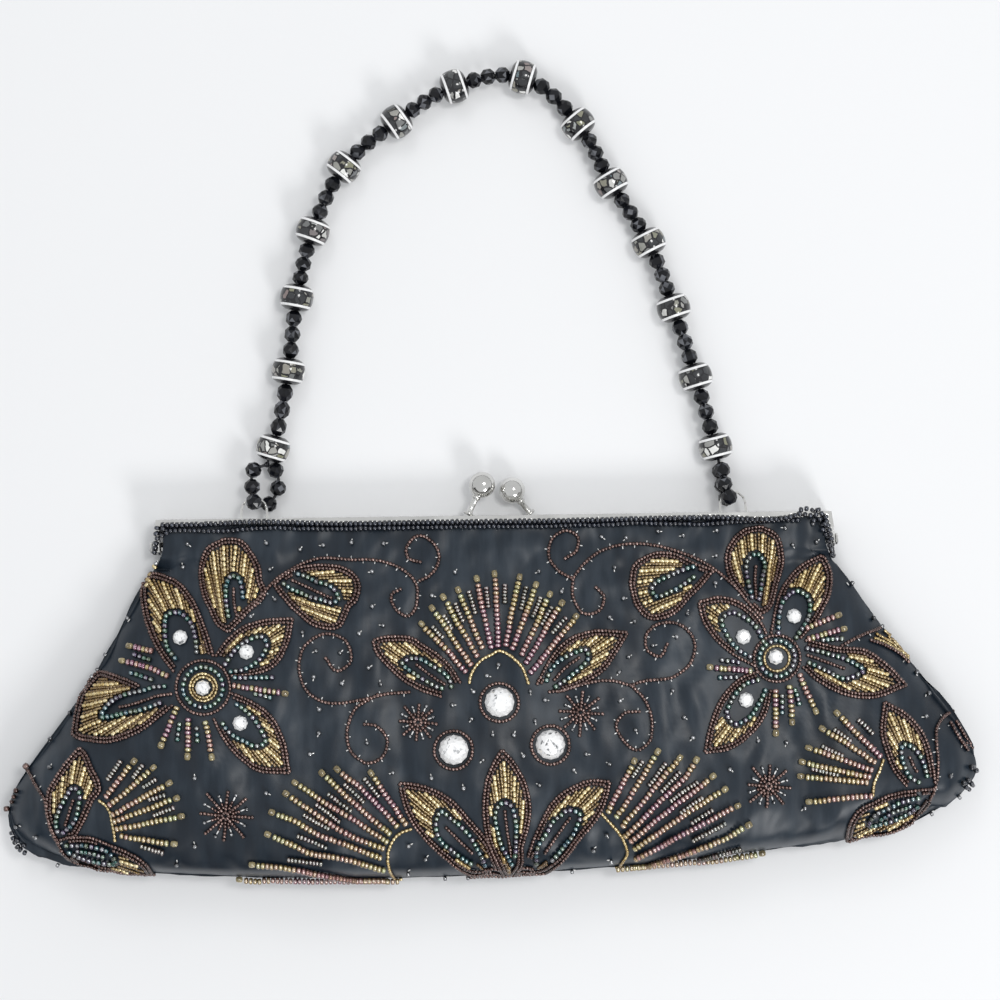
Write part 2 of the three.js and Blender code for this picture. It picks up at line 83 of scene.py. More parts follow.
# The pixel of the photograph that shows a place
def pixelOf(place):
    seen = Matrix.Rotation(-roll, 3, "Z") @ (Vector(place) - eye)
    middle = view["side"] / 2
    return np.array([middle - seen.x / seen.z * view["focal"], middle + seen.y / seen.z * view["focal"]])


# The place a pixel shows at a height above the floor
def planPlace(spot, height):
    aim = throughPixel(spot)
    return eye + aim * ((height - eye.z) / aim.z)


# Shader sockets that take part in Python sums

class Socket:
    def __init__(self, paint, link):
        self.paint = paint
        self.link = link

    def __add__(self, other):
        return self.paint.maths("ADD", self, other)

    def __radd__(self, other):
        return self.paint.maths("ADD", other, self)

    def __sub__(self, other):
        return self.paint.maths("SUBTRACT", self, other)

    def __rsub__(self, other):
        return self.paint.maths("SUBTRACT", other, self)

    def __mul__(self, other):
        return self.paint.maths("MULTIPLY", self, other)

    def __rmul__(self, other):
        return self.paint.maths("MULTIPLY", other, self)

    def __gt__(self, other):
        return self.paint.maths("GREATER_THAN", self, other)

    def __lt__(self, other):
        return self.paint.maths("LESS_THAN", self, other)

    def __abs__(self):
        return self.paint.maths("ABSOLUTE", self, 0)


class Paint:
    def __init__(self, name):
        self.material = bpy.data.materials.new(name)
        self.material.use_nodes = True
        self.tree = self.material.node_tree
        self.tree.nodes.clear()

    def node(self, kind, settings, sockets, give):
        made = self.tree.nodes.new(kind)
        for name, value in settings.items():
            if name == "stops":
                ramp = made.color_ramp.elements
                while len(ramp) < len(value):
                    ramp.new(0.5)
                for stop, (at, colour) in zip(ramp, value):
                    stop.position = at
                    stop.color = (*colour, 1)
            else:
                setattr(made, name, value)
        for name, value in sockets.items():
            if isinstance(value, Socket):
                self.tree.links.new(value.link, made.inputs[name])
            else:
                made.inputs[name].default_value = value
        return Socket(self, made.outputs[give])

    def maths(self, operation, first, second):
        return self.node("ShaderNodeMath", {"operation": operation}, {0: first, 1: second}, 0)

    def place(self):
        return self.node("ShaderNodeTexCoord", {}, {}, "Object")

    def attribute(self, name):
        return self.node("ShaderNodeAttribute", {"attribute_name": name}, {}, "Fac")

    def ramp(self, amount, stops):
        return self.node("ShaderNodeValToRGB", {"stops": stops}, {"Fac": amount}, "Color")

    def mix(self, amount, first, second):
        pair = [c if isinstance(c, Socket) else (*c, 1) for c in (first, second)]
        sockets = {0: amount, 6: pair[0], 7: pair[1]}
        return self.node("ShaderNodeMix", {"data_type": "RGBA"}, sockets, 2)

    def stretch(self, place, scale, turn=0.0):
        sockets = {"Vector": place, "Rotation": (0, 0, turn), "Scale": scale}
        return self.node("ShaderNodeMapping", {}, sockets, "Vector")

    def noise(self, place, scale, detail=3.0, rough=0.5):
        sockets = {"Vector": place, "Scale": scale, "Detail": detail, "Roughness": rough}
        return self.node("ShaderNodeTexNoise", {}, sockets, "Fac")

    def bump(self, height, strength, distance):
        sockets = {"Height": height, "Strength": strength, "Distance": distance}
        return self.node("ShaderNodeBump", {}, sockets, "Normal")

    def finish(self, sockets):
        shader = self.node("ShaderNodeBsdfPrincipled", {}, sockets, "BSDF")
        made = self.tree.nodes.new("ShaderNodeOutputMaterial")
        self.tree.links.new(shader.link, made.inputs["Surface"])
        return self.material


# Finishes

def satinFinish():
    paint = Paint("slate_satin")
    place = paint.place()
    cloud = paint.noise(place, 38, 4)
    streak = paint.noise(paint.stretch(place, (5, 1, 1), 0.2), 60, 3)
    floats = paint.node(
        "ShaderNodeTexWave", {"bands_direction": "DIAGONAL"},
        {"Vector": place, "Scale": 1700, "Distortion": 1.6, "Detail": 1}, "Fac")
    picks = paint.noise(paint.stretch(place, (1, 6, 1)), 1300, 2)
    weave = floats * 0.6 + picks * 0.4
    colour = paint.ramp(cloud * 0.6 + streak * 0.4, [
        (0.38, (0.0042, 0.0095, 0.0174)), (0.50, (0.0090, 0.0174, 0.0284)), (0.64, (0.028, 0.040, 0.055))])
    return paint.finish({
        "Base Color": paint.mix(weave * 0.3, colour, (0.004, 0.008, 0.014)),
        "Roughness": 0.31 + streak * 0.12 + weave * 0.06,
        "Normal": paint.bump(weave, 0.12, 0.00005),
        "Sheen Weight": 0.03, "Sheen Roughness": 0.35, "Sheen Tint": (0.50, 0.66, 0.86, 1),
        "Specular IOR Level": 0.42,
    })


def nickelFinish():
    paint = Paint("polished_nickel")
    place = paint.place()
    smear = paint.noise(place, 120, 4)
    hair = paint.noise(paint.stretch(place, (0.15, 3, 3)), 1500, 2)
    return paint.finish({
        "Base Color": paint.ramp(smear, [(0.3, (0.64, 0.635, 0.615)), (0.7, (0.80, 0.795, 0.775))]),
        "Metallic": 1.0,
        "Roughness": 0.05 + smear * 0.10 + hair * 0.04,
        "Normal": paint.bump(hair, 0.06, 0.00003),
    })


def jetFinish():
    paint = Paint("jet_glass")
    place = paint.place()
    smear = paint.noise(place, 420, 3)
    # some facets are painted lighter at random, as painted reflections on the black glass
    paintedFacetReflection = paint.attribute("tint")
    return paint.finish({
        "Base Color": paint.ramp(paintedFacetReflection * 0.9 + smear * 0.1, [
            (0.3, (0.0030, 0.0034, 0.0050)), (0.80, (0.010, 0.011, 0.015)), (0.88, (0.13, 0.135, 0.15))]),
        "Roughness": 0.06 + smear * 0.10,
        "Specular IOR Level": 0.34,
    })


def threadFinish():
    paint = Paint("dark_thread")
    place = paint.place()
    twist = paint.node(
        "ShaderNodeTexWave", {"bands_direction": "DIAGONAL"},
        {"Vector": place, "Scale": 700, "Distortion": 1}, "Fac")
    return paint.finish({
        "Base Color": paint.ramp(twist, [(0.2, (0.010, 0.010, 0.012)), (0.8, (0.035, 0.036, 0.040))]),
        "Roughness": 0.62 + twist * 0.1,
        "Normal": paint.bump(twist, 0.5, 0.0001),
    })


def inlayFinish():
    paint = Paint("shell_inlay")
    place = paint.place()
    along = abs(paint.attribute("along"))
    ring = (along > 0.58) * (along < 0.76)
    band = along < 0.54
    wobble = paint.node("ShaderNodeTexNoise", {}, {"Vector": place, "Scale": 500, "Detail": 2}, "Color")
    shaken = paint.node(
        "ShaderNodeMix", {"data_type": "VECTOR", "blend_type": "MIX"}, {0: 0.0012, 4: place, 5: wobble}, 1)
    cell = paint.node("ShaderNodeTexVoronoi", {}, {"Vector": shaken, "Scale": 470}, "Color")
    pick = paint.node("ShaderNodeSeparateColor", {}, {"Color": cell}, 0)
    edge = paint.node(
        "ShaderNodeTexVoronoi", {"feature": "DISTANCE_TO_EDGE"}, {"Vector": shaken, "Scale": 470}, "Distance")
    chips = paint.ramp(pick, [
        (0.0, (0.010, 0.011, 0.013)), (0.36, (0.026, 0.028, 0.031)), (0.42, (0.16, 0.165, 0.165)),
        (0.50, (0.36, 0.36, 0.345)), (0.58, (0.24, 0.24, 0.15)), (0.66, (0.31, 0.29, 0.25)),
        (0.75, (0.44, 0.44, 0.42)), (0.81, (0.27, 0.20, 0.19)), (0.86, (0.12, 0.17, 0.19)),
        (0.91, (0.52, 0.52, 0.50)), (0.96, (0.95, 0.95, 0.92))])
    nacre = paint.noise(place, 900, 3)
    chip = (edge > 0.10) * band
    body = paint.mix(chip, (0.006, 0.006, 0.008), paint.mix(nacre * 0.35, chips, (0.07, 0.075, 0.08)))
    pale = paint.ramp(nacre, [(0.3, (0.80, 0.80, 0.80)), (0.7, (0.93, 0.93, 0.94))])
    return paint.finish({
        "Base Color": paint.mix(ring, body, pale),
        "Roughness": 0.10 + nacre * 0.10 + ring * 0.10,
        "Normal": paint.bump(chip + ring, 0.25, 0.00008),
        "Coat Weight": 0.35, "Coat Roughness": 0.06,
    })


def crystalFinish():
    paint = Paint("foiled_crystal")
    place = paint.place()
    cell = paint.node("ShaderNodeTexVoronoi", {}, {"Vector": place, "Scale": 1150}, "Color")
    spark = paint.node("ShaderNodeSeparateColor", {}, {"Color": cell}, 1)
    # facets and sparkle cells are painted white or dark grey at random, as painted reflections of the foil
    # and the room
    paintedFacetReflection = paint.attribute("tint")
    return paint.finish({
        "Base Color": paint.ramp(paintedFacetReflection * 0.6 + spark * 0.4, [
            (0.08, (0.14, 0.145, 0.15)), (0.17, (0.50, 0.51, 0.52)),
            (0.28, (0.90, 0.90, 0.91)), (0.50, (0.98, 0.98, 0.98))]),
        "Metallic": 0.12,
        "Roughness": 0.04 + spark * 0.05,
        "Coat Weight": 1.0, "Coat Roughness": 0.02,
    })


# Glass beads with painted light, in each bead's tint: the edge colour is painted at a bead's sides and ends
# as painted shade, and as a painted bright rim on the champagne beads; glint is a painted highlight on the
# top of a bead: a colour, how narrow it is, and its share for the lowest and the highest tint
def beadFinish(name, stops, edge, glint, metallic, roughness):
    paint = Paint(name)
    core = paint.attribute("core")
    tint = paint.attribute("tint")
    cloud = paint.noise(paint.place(), 1400, 2)
    body = paint.ramp(tint * 0.88 + cloud * 0.12, stops)
    # painted shade: the edge colour at a bead's sides and ends, where the painted top light is low
    bodyWithPaintedEdge = paint.mix(core * 1.35 - 0.10, edge, body)
    pale, narrow, least, most = glint
    # painted highlight: the glint colour where the painted top light is high
    share = (core * narrow - (narrow - 0.85)) * (least + tint * (most - least))
    return paint.finish({
        "Base Color": paint.mix(share, bodyWithPaintedEdge, pale),
        "Metallic": metallic,
        "Roughness": roughness + cloud * 0.08,
        "Coat Weight": 0.7, "Coat Roughness": 0.06, "Coat IOR": 1.7,
    })


finishes = {
    "satin": satinFinish(),
    "nickel": nickelFinish(),
    "jet": jetFinish(),
    "thread": threadFinish(),
    "inlay": inlayFinish(),
    "crystal": crystalFinish(),
    # each bead finish: body stops by tint, edge colour as painted shade, glint as painted highlight,
    # metallic, roughness
    "bronze": beadFinish("bronze_iris", [
        (0.0, (0.050, 0.017, 0.012)), (0.4, (0.088, 0.034, 0.024)), (0.8, (0.130, 0.060, 0.046)),
        (1.0, (0.19, 0.105, 0.092))],
        (0.026, 0.010, 0.007), ((0.68, 0.50, 0.45), 3.4, 0.15, 0.8), 0.6, 0.16),
    "gold": beadFinish("gold_lined", [
        (0.0, (0.070, 0.032, 0.010)), (0.3, (0.19, 0.105, 0.026)), (0.55, (0.38, 0.245, 0.062)),
        (0.8, (0.60, 0.43, 0.15)), (1.0, (0.81, 0.64, 0.31))],
        (0.15, 0.085, 0.024), ((1.0, 0.92, 0.66), 3.0, 0.0, 1.0), 0.6, 0.16),
    "iris": beadFinish("teal_iris", [
        (0.0, (0.008, 0.050, 0.105)), (0.2, (0.010, 0.100, 0.120)), (0.4, (0.024, 0.125, 0.070)),
        (0.6, (0.085, 0.115, 0.060)), (0.8, (0.085, 0.045, 0.125)), (1.0, (0.16, 0.17, 0.15))],
        (0.006, 0.014, 0.016), ((0.93, 1.0, 0.97), 2.8, 1.0, 1.0), 0.6, 0.12),
    "fan": beadFinish("fan_iris", [
        (0.0, (0.17, 0.045, 0.095)), (0.25, (0.31, 0.125, 0.215)), (0.5, (0.43, 0.22, 0.18)),
        (0.75, (0.48, 0.37, 0.13)), (1.0, (0.46, 0.49, 0.23))],
        (0.070, 0.034, 0.028), ((1.0, 0.95, 0.87), 2.7, 0.86, 0.86), 0.5, 0.12),
    "bar": beadFinish("pale_iris", [
        (0.0, (0.050, 0.075, 0.070)), (0.35, (0.105, 0.085, 0.050)), (0.7, (0.140, 0.075, 0.085)),
        (1.0, (0.21, 0.19, 0.13))],
        (0.040, 0.024, 0.020), ((0.96, 0.97, 0.93), 2.6, 0.85, 1.0), 0.5, 0.12),
    # the champagne beads' pale edge colour is a painted bright rim
    "clear": beadFinish("champagne_glass", [
        (0.0, (0.095, 0.066, 0.022)), (0.5, (0.17, 0.130, 0.052)), (1.0, (0.28, 0.235, 0.115))],
        (0.60, 0.50, 0.28), ((0.98, 0.95, 0.86), 5.0, 0.95, 0.95), 0.2, 0.06),
    "silver": beadFinish("gunmetal_glass", [
        (0.0, (0.05, 0.053, 0.06)), (0.5, (0.16, 0.165, 0.18)), (1.0, (0.40, 0.41, 0.43))],
        (0.008, 0.009, 0.011), ((1.0, 1.0, 1.0), 3.6, 0.8, 1.0), 0.5, 0.06),
    "stitch": beadFinish("pale_thread", [
        (0.0, (0.42, 0.42, 0.41)), (1.0, (0.85, 0.85, 0.84))],
        (0.14, 0.14, 0.14), ((1.0, 1.0, 1.0), 2.6, 0.5, 1.0), 0.0, 0.35),
    "black": beadFinish("jet_seed", [
        (0.0, (0.0035, 0.005, 0.011)), (1.0, (0.014, 0.019, 0.034))],
        (0.003, 0.003, 0.005), ((0.20, 0.25, 0.36), 5.5, 0.2, 0.9), 0.0, 0.06),
}
print("finishes made,", len(finishes))


# A piece sits at the origin with its place in its mesh, and rides on the one body
def addPiece(name, mesh, finish, replaced=()):
    piece = bpy.data.objects.new(name, mesh)
    scene.collection.objects.link(piece)
    mesh.materials.clear()
    mesh.materials.append(finishes[finish])
    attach(piece, "root")
    if replaced:
        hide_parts(*replaced)
    return piece


def meshFrom(bm, name, smooth):
    bmesh.ops.recalc_face_normals(bm, faces=bm.faces)
    mesh = bpy.data.meshes.new(name)
    bm.to_mesh(mesh)
    bm.free()
    if smooth:
        mesh.shade_smooth()
    return mesh


# A profile of radii and places along the axis, turned all round
def lathe(profile, sides, closed=False):
    bm = bmesh.new()
    line = [bm.verts.new((radius, 0, along)) for radius, along in profile]
    edges = [bm.edges.new(pair) for pair in zip(line, line[1:] + line[:1] * closed)]
    bmesh.ops.spin(bm, geom=line + edges, cent=(0, 0, 0), axis=(0, 0, 1), angle=math.tau, steps=sides,
                   use_merge=True)
    return bm


# Rings of corners for a cut bead or stone: share of the radius, share of the length, turn in steps
def staggeredRings(bm, rings, sides, radius, long):
    corners = []
    for share, along, turn in rings:
        made = bmesh.ops.create_circle(bm, cap_ends=False, segments=sides, radius=share * radius)["verts"]
        lift = Matrix.Translation((0, 0, along * long)) @ Matrix.Rotation(turn * math.tau / sides, 4, "Z")
        bmesh.ops.transform(bm, matrix=lift, verts=made)
        corners += made
    return corners


def turnedAlong(axis):
    return Vector((0, 0, 1)).rotation_difference(axis).to_matrix().to_4x4()


def cornersOf(mesh):
    places = np.empty(len(mesh.vertices) * 3)
    mesh.vertices.foreach_get("co", places)
    return places.reshape(-1, 3)


# The corners of a CAD node, and how far and which way they spread
def spreadOf(node):
    points = np.unique(np.round(cornersOf(nodes[node].data), 7), axis=0)
    return points, *np.linalg.eigh(np.cov((points - points.mean(0)).T))


# A cubic between two ends with their slopes
def hermite(start, startRun, end, endRun, t):
    return (start * (2 * t**3 - 3 * t**2 + 1) + end * (3 * t**2 - 2 * t**3)
            + startRun * (t**3 - 2 * t**2 + t) + endRun * (t**3 - t**2))


def pointAlong(steps, along, at):
    return np.array([np.interp(at, along, steps[:, axis]) for axis in range(3)])


# Satin panels: the CAD walls made smooth and creased

satin = {
    "rimRound": 0.45 * mm,   # roll of the cloth's edges
    "rimTurn": 0.9,          # radians, the least turn that counts as an edge
    "creaseTall": 1.15 * mm,
    # creases: per mm across, their lean, per mm down, seed, share of the height
    "creases": [(0.125, 0.02, 0.065, 1.7, 0.85), (0.2625, -0.05, 0.169, 8.3, 0.55),
                (0.03, 0.0, 0.05, 4.1, 0.8)],
    "foldEnds": 0.15,        # how much of a fold's arch its ends leave out
    "stoneRest": 7.0 * mm,   # the cloth lies flat this near a stone
    "fits": 3,               # tries at rounding the cloth without shrinking it
    "offFloor": 0.02 * mm,   # the underside lies flat on the table
    # soft folds: from, to (photo pixels), half width (mm), height (mm)
    "folds": [
        ((183, 750), (214, 772), 4.5, 0.9), ((436, 700), (446, 760), 4.0, 0.6),
        ((470, 740), (478, 800), 4.0, 0.6), ((738, 690), (752, 760), 4.0, 0.6),
        ((300, 630), (330, 690), 5.0, 0.5), ((640, 560), (600, 640), 5.0, 0.5),
        ((250, 790), (180, 850), 5.0, 0.7), ((860, 800), (800, 860), 5.0, 0.6),
    ],
}
stoneNames = sorted(name for name in nodes if name.startswith("stone_"))
stoneMiddles = [sum(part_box(name), Vector()) / 2 for name in stoneNames]


def foldHeight(x, y):
    total = 0.0
    for start, end, width, tall in foldLines:
        run = end - start
        share = max(0.0, min(1.0, (Vector((x, y)) - start).dot(run) / run.length_squared))
        away = (Vector((x, y)) - start - run * share).length / width
        arch = satin["foldEnds"] + (1 - 2 * satin["foldEnds"]) * share
        total += tall * math.exp(-away * away) * math.sin(math.pi * arch)
    return total


def creaseHeight(x, y):
    u, v = x / mm, y / mm
    return satin["creaseTall"] * sum(
        share * noise.noise((u * across + v * lean, v * down, seed))
        for across, lean, down, seed, share in satin["creases"])


foldLines = [
    (planPlace(start, 20 * mm).to_2d(), planPlace(end, 20 * mm).to_2d(), width * mm, tall * mm)
    for start, end, width, tall in satin["folds"]]


def satinPanel(name, node, facing, levels, folded):
    bm = bmesh.new()
    bm.from_mesh(nodes[node].data)
    bmesh.ops.remove_doubles(bm, verts=bm.verts, dist=0.002 * mm)
    bmesh.ops.join_triangles(bm, faces=bm.faces, angle_face_threshold=0.7, angle_shape_threshold=1.2)
    rim = [edge for edge in bm.edges
           if len(edge.link_faces) == 2 and edge.calc_face_angle() > satin["rimTurn"]]
    bmesh.ops.bevel(
        bm, geom=rim, offset=satin["rimRound"], affect="EDGES", segments=2, profile=0.5, material=-1)
    cage = meshFrom(bm, name, True)
    rough = bpy.data.objects.new(name, cage)
    scene.collection.objects.link(rough)
    rounding = rough.modifiers.new("round", "SUBSURF")
    rounding.levels = rounding.render_levels = levels
    wanted = cornersOf(cage)
    for _ in range(satin["fits"]):
        seen = rough.evaluated_get(bpy.context.evaluated_depsgraph_get())
        short = wanted - cornersOf(seen.data)[:len(wanted)]
        cage.vertices.foreach_set("co", (cornersOf(cage) + short).ravel())
        cage.update()
    seen = rough.evaluated_get(bpy.context.evaluated_depsgraph_get())
    mesh = bpy.data.meshes.new_from_object(seen)
    short = np.linalg.norm(wanted - cornersOf(mesh)[:len(wanted)], axis=1).max()
    print(name, "is within", round(short / mm, 3), "mm of the CAD's corners")
    bpy.data.objects.remove(rough)
    moved = []
    for place, normal in [(corner.co.copy(), corner.normal.copy()) for corner in mesh.vertices]:
        outward = normal.z * facing
        steady = min(1.0, abs(outward) * 1.4) ** 2
        near = min((place - middle).length for middle in stoneMiddles)
        steady *= min(1.0, max(0.0, near / satin["stoneRest"] - 0.55))
        lift = creaseHeight(place.x, place.y)
        if folded:
            lift += foldHeight(place.x, place.y)
        place += normal * (lift * steady * (1 if outward > 0 else -1))
        moved.extend((place.x, place.y, max(place.z, satin["offFloor"])))
    mesh.vertices.foreach_set("co", moved)
    mesh.update()
    mesh.shade_smooth()
    return addPiece(name, mesh, "satin", [node])


satinFront = satinPanel("satin_front", "front_panel", 1, 3, True)
satinBack = satinPanel("satin_back", "back_panel", -1, 2, False)
print("satin panels,", len(satinFront.data.polygons), len(satinBack.data.polygons), "faces")


# The front as beads lie on it

sewing = {
    "edgeHeight": 10 * mm, "edgeGap": 0.15 * mm,      # of a bead past the cloth's edge
    "rowLift": 0.47, "loneLift": 0.46,                # a bead's middle above the cloth, by its width
    "sizes": (0.93, 1.06), "shift": 0.03 * mm, "lean": 0.035 * mm, "tintShake": 0.14,     # from bead to bead
    # in pixels: between stitches, from a row to its stitch, from a bead to its stitch, and from a row to
    # its end bead
    "stitchGap": 12, "stitchOut": 2.4, "loneStitch": 2.5, "sprayEnd": 4.4, "fanEnd": 4.9,
    "stitchSizes": (0.7, 1.05),
}
clothTree = BVHTree.FromPolygons(
    [corner.co.copy() for corner in satinFront.data.vertices],
    [list(face.vertices) for face in satinFront.data.polygons])


# Where a pixel meets the front, and the way the cloth faces there; past the edge, the nearest of the edge
def meet(spot):
    hit, normal, _, _ = clothTree.ray_cast(eye, throughPixel(spot))
    if hit is None:
        beside = planPlace(spot, sewing["edgeHeight"])
        hit = clothTree.find_nearest(beside)[0]
        normal = Vector((*(beside - hit).to_2d(), 0)).normalized()
        hit = hit + normal * sewing["edgeGap"]
    elif normal.z < 0:
        normal = -normal
    return hit, normal


# A smooth line through the points, in steps of about a pixel
def smoothLine(points, step=1.0):
    points = np.array(points, float)
    gaps = np.linalg.norm(np.diff(points, axis=0), axis=1)
    along = np.concatenate([[0], np.cumsum(gaps)])
    slopes = np.gradient(points, along, axis=0)
    wanted = np.linspace(0, along[-1], max(2, int(along[-1] / step) + 1))
    at = np.clip(np.searchsorted(along, wanted, side="right") - 1, 0, len(gaps) - 1)
    gap = gaps[at][:, None]
    t = (wanted - along[at])[:, None] / gap
    return hermite(points[at], slopes[at] * gap, points[at + 1], slopes[at + 1] * gap, t)


# Seed beads

# width and length of a bead and its place in a row (mm), range of tints, how much painted shade darkens its
# ends
beadKinds = {
    "bronze": {"wide": 1.16, "long": 1.02, "pitch": 1.00, "tints": (0.0, 1.0), "ends": 0.25},
    "gold": {"wide": 0.95, "long": 1.15, "pitch": 1.02, "tints": (0.30, 1.0), "ends": 0.12},
    "iris": {"wide": 1.70, "long": 1.46, "pitch": 1.50, "tints": (0.0, 1.0), "ends": 0.5},
    "fan": {"wide": 2.06, "long": 1.26, "pitch": 1.28, "tints": (0.1, 1.0), "ends": 0.45},
    "bar": {"wide": 1.80, "long": 0.98, "pitch": 1.02, "tints": (0.0, 1.0), "ends": 0.35},
    "clear": {"wide": 1.85, "long": 2.25, "pitch": 2.25, "tints": (0.0, 1.0), "ends": 0.5},
    "silver": {"wide": 1.50, "long": 1.15, "pitch": 1.6, "tints": (0.0, 1.0), "ends": 0.5},
    "stitch": {"wide": 0.44, "long": 1.15, "pitch": 1.5, "tints": (0.0, 1.0), "ends": 0.2},
    "black": {"wide": 1.74, "long": 1.34, "pitch": 1.38, "tints": (0.0, 1.0), "ends": 0.5},
}
laid = {kind: [] for kind in beadKinds}


def addBead(kind, place, along, size=1.0, tint=None):
    facts = beadKinds[kind]
    wide, long = (facts[key] * mm * size * rng.uniform(*sewing["sizes"]) for key in ("wide", "long"))
    low, high = facts["tints"]
    shade = rng.uniform(low, high) if tint is None else tint
    place = (place[0], place[1], max(place[2], wide / 2))
    laid[kind].append((*place, *along, wide, long, shade, rng.uniform(0, math.tau)))


# A row of touching beads along a line of pixels
def layRow(kind, points, tints=None, level=None, size=1.0, straight=False):
    line = np.array(points, float) if straight else smoothLine(points)
    if level is None:
        met = [meet(spot) for spot in line]
        lift = beadKinds[kind]["wide"] * size * sewing["rowLift"] * mm
        path = np.array([hit + normal * lift for hit, normal in met])
    else:
        path = np.array([planPlace(spot, level) for spot in line])
    steps = np.linalg.norm(np.diff(path, axis=0), axis=1)
    steps = np.minimum(steps, 3 * np.median(steps) + 1e-9)
    along = np.concatenate([[0], np.cumsum(steps)])
    count = max(1, int(round(along[-1] / (beadKinds[kind]["pitch"] * size * mm))))
    for k in range(count):
        at = along[-1] * (k + 0.5) / count
        reach = 0.45 * along[-1] / count
        before, after = (pointAlong(path, along, at + side * reach) for side in (-1, 1))
        run = after - before + rng.normal(0, sewing["lean"], 3)
        run = run / (np.linalg.norm(run) + 1e-12)
        place = pointAlong(path, along, at) + rng.normal(0, sewing["shift"], 3)
        tint = None
        if tints is not None:
            tint = np.interp((k + 0.5) / count, np.linspace(0, 1, len(tints)), tints)
            tint += rng.uniform(-sewing["tintShake"], sewing["tintShake"])
        addBead(kind, place, run, size, tint)


# A single bead on the cloth, its hole along the cloth
def layBead(kind, spot, size=1.0, level=None, towards=None):
    hit, normal = meet(spot)
    place = hit + normal * (beadKinds[kind]["wide"] * size * sewing["loneLift"] * mm)
    if level is not None:
        place, normal = planPlace(spot, level), Vector((0, 0, 1))
    turn = rng.uniform(0, math.pi)
    run = Vector((math.cos(turn), math.sin(turn), 0))
    if towards is not None:
        run = planPlace(towards, place.z) - planPlace(spot, place.z)
    run = (run - normal * run.dot(normal)).normalized()
    addBead(kind, place, run, size)


# Pale stitches that show across a row
def layStitches(points):
    line = smoothLine(points)
    gap = sewing["stitchGap"]
    for k in range(int(rng.uniform(2, gap)), len(line) - 2, gap):
        run = line[k + 1] - line[k - 1]
        across = np.array([-run[1], run[0]]) / np.linalg.norm(run) * rng.choice([-1, 1])
        spot = line[k] + across * sewing["stitchOut"]
        layBead("stitch", spot, rng.uniform(*sewing["stitchSizes"]), towards=line[k])


def circle(middle, radius):
    turns = np.linspace(0, math.tau, max(12, int(radius * 2)))
    return [(middle[0] + radius * math.cos(t), middle[1] + radius * math.sin(t)) for t in turns]


# Distances from pixels to a line, and whether they lie inside a closed one
def awayFrom(spots, line):
    start, run = line[:-1], np.diff(line, axis=0)
    rel = spots[:, None] - start[None]
    share = np.clip((rel * run).sum(2) / ((run * run).sum(1) + 1e-9), 0, 1)
    return np.linalg.norm(rel - share[..., None] * run, axis=2).min(1)


def inside(spots, loop):
    ends = np.roll(loop, -1, axis=0)
    x, y = spots[:, :1], spots[:, 1:]
    spans = (loop[:, 1] > y) != (ends[:, 1] > y)
    rise = np.where(np.abs(ends[:, 1] - loop[:, 1]) < 1e-9, 1e-9, ends[:, 1] - loop[:, 1])
    cross = loop[:, 0] + (y - loop[:, 1]) * (ends[:, 0] - loop[:, 0]) / rise
    return (spans & (x < cross)).sum(1) % 2 == 1


# The embroidery, charted in pixels of the photograph

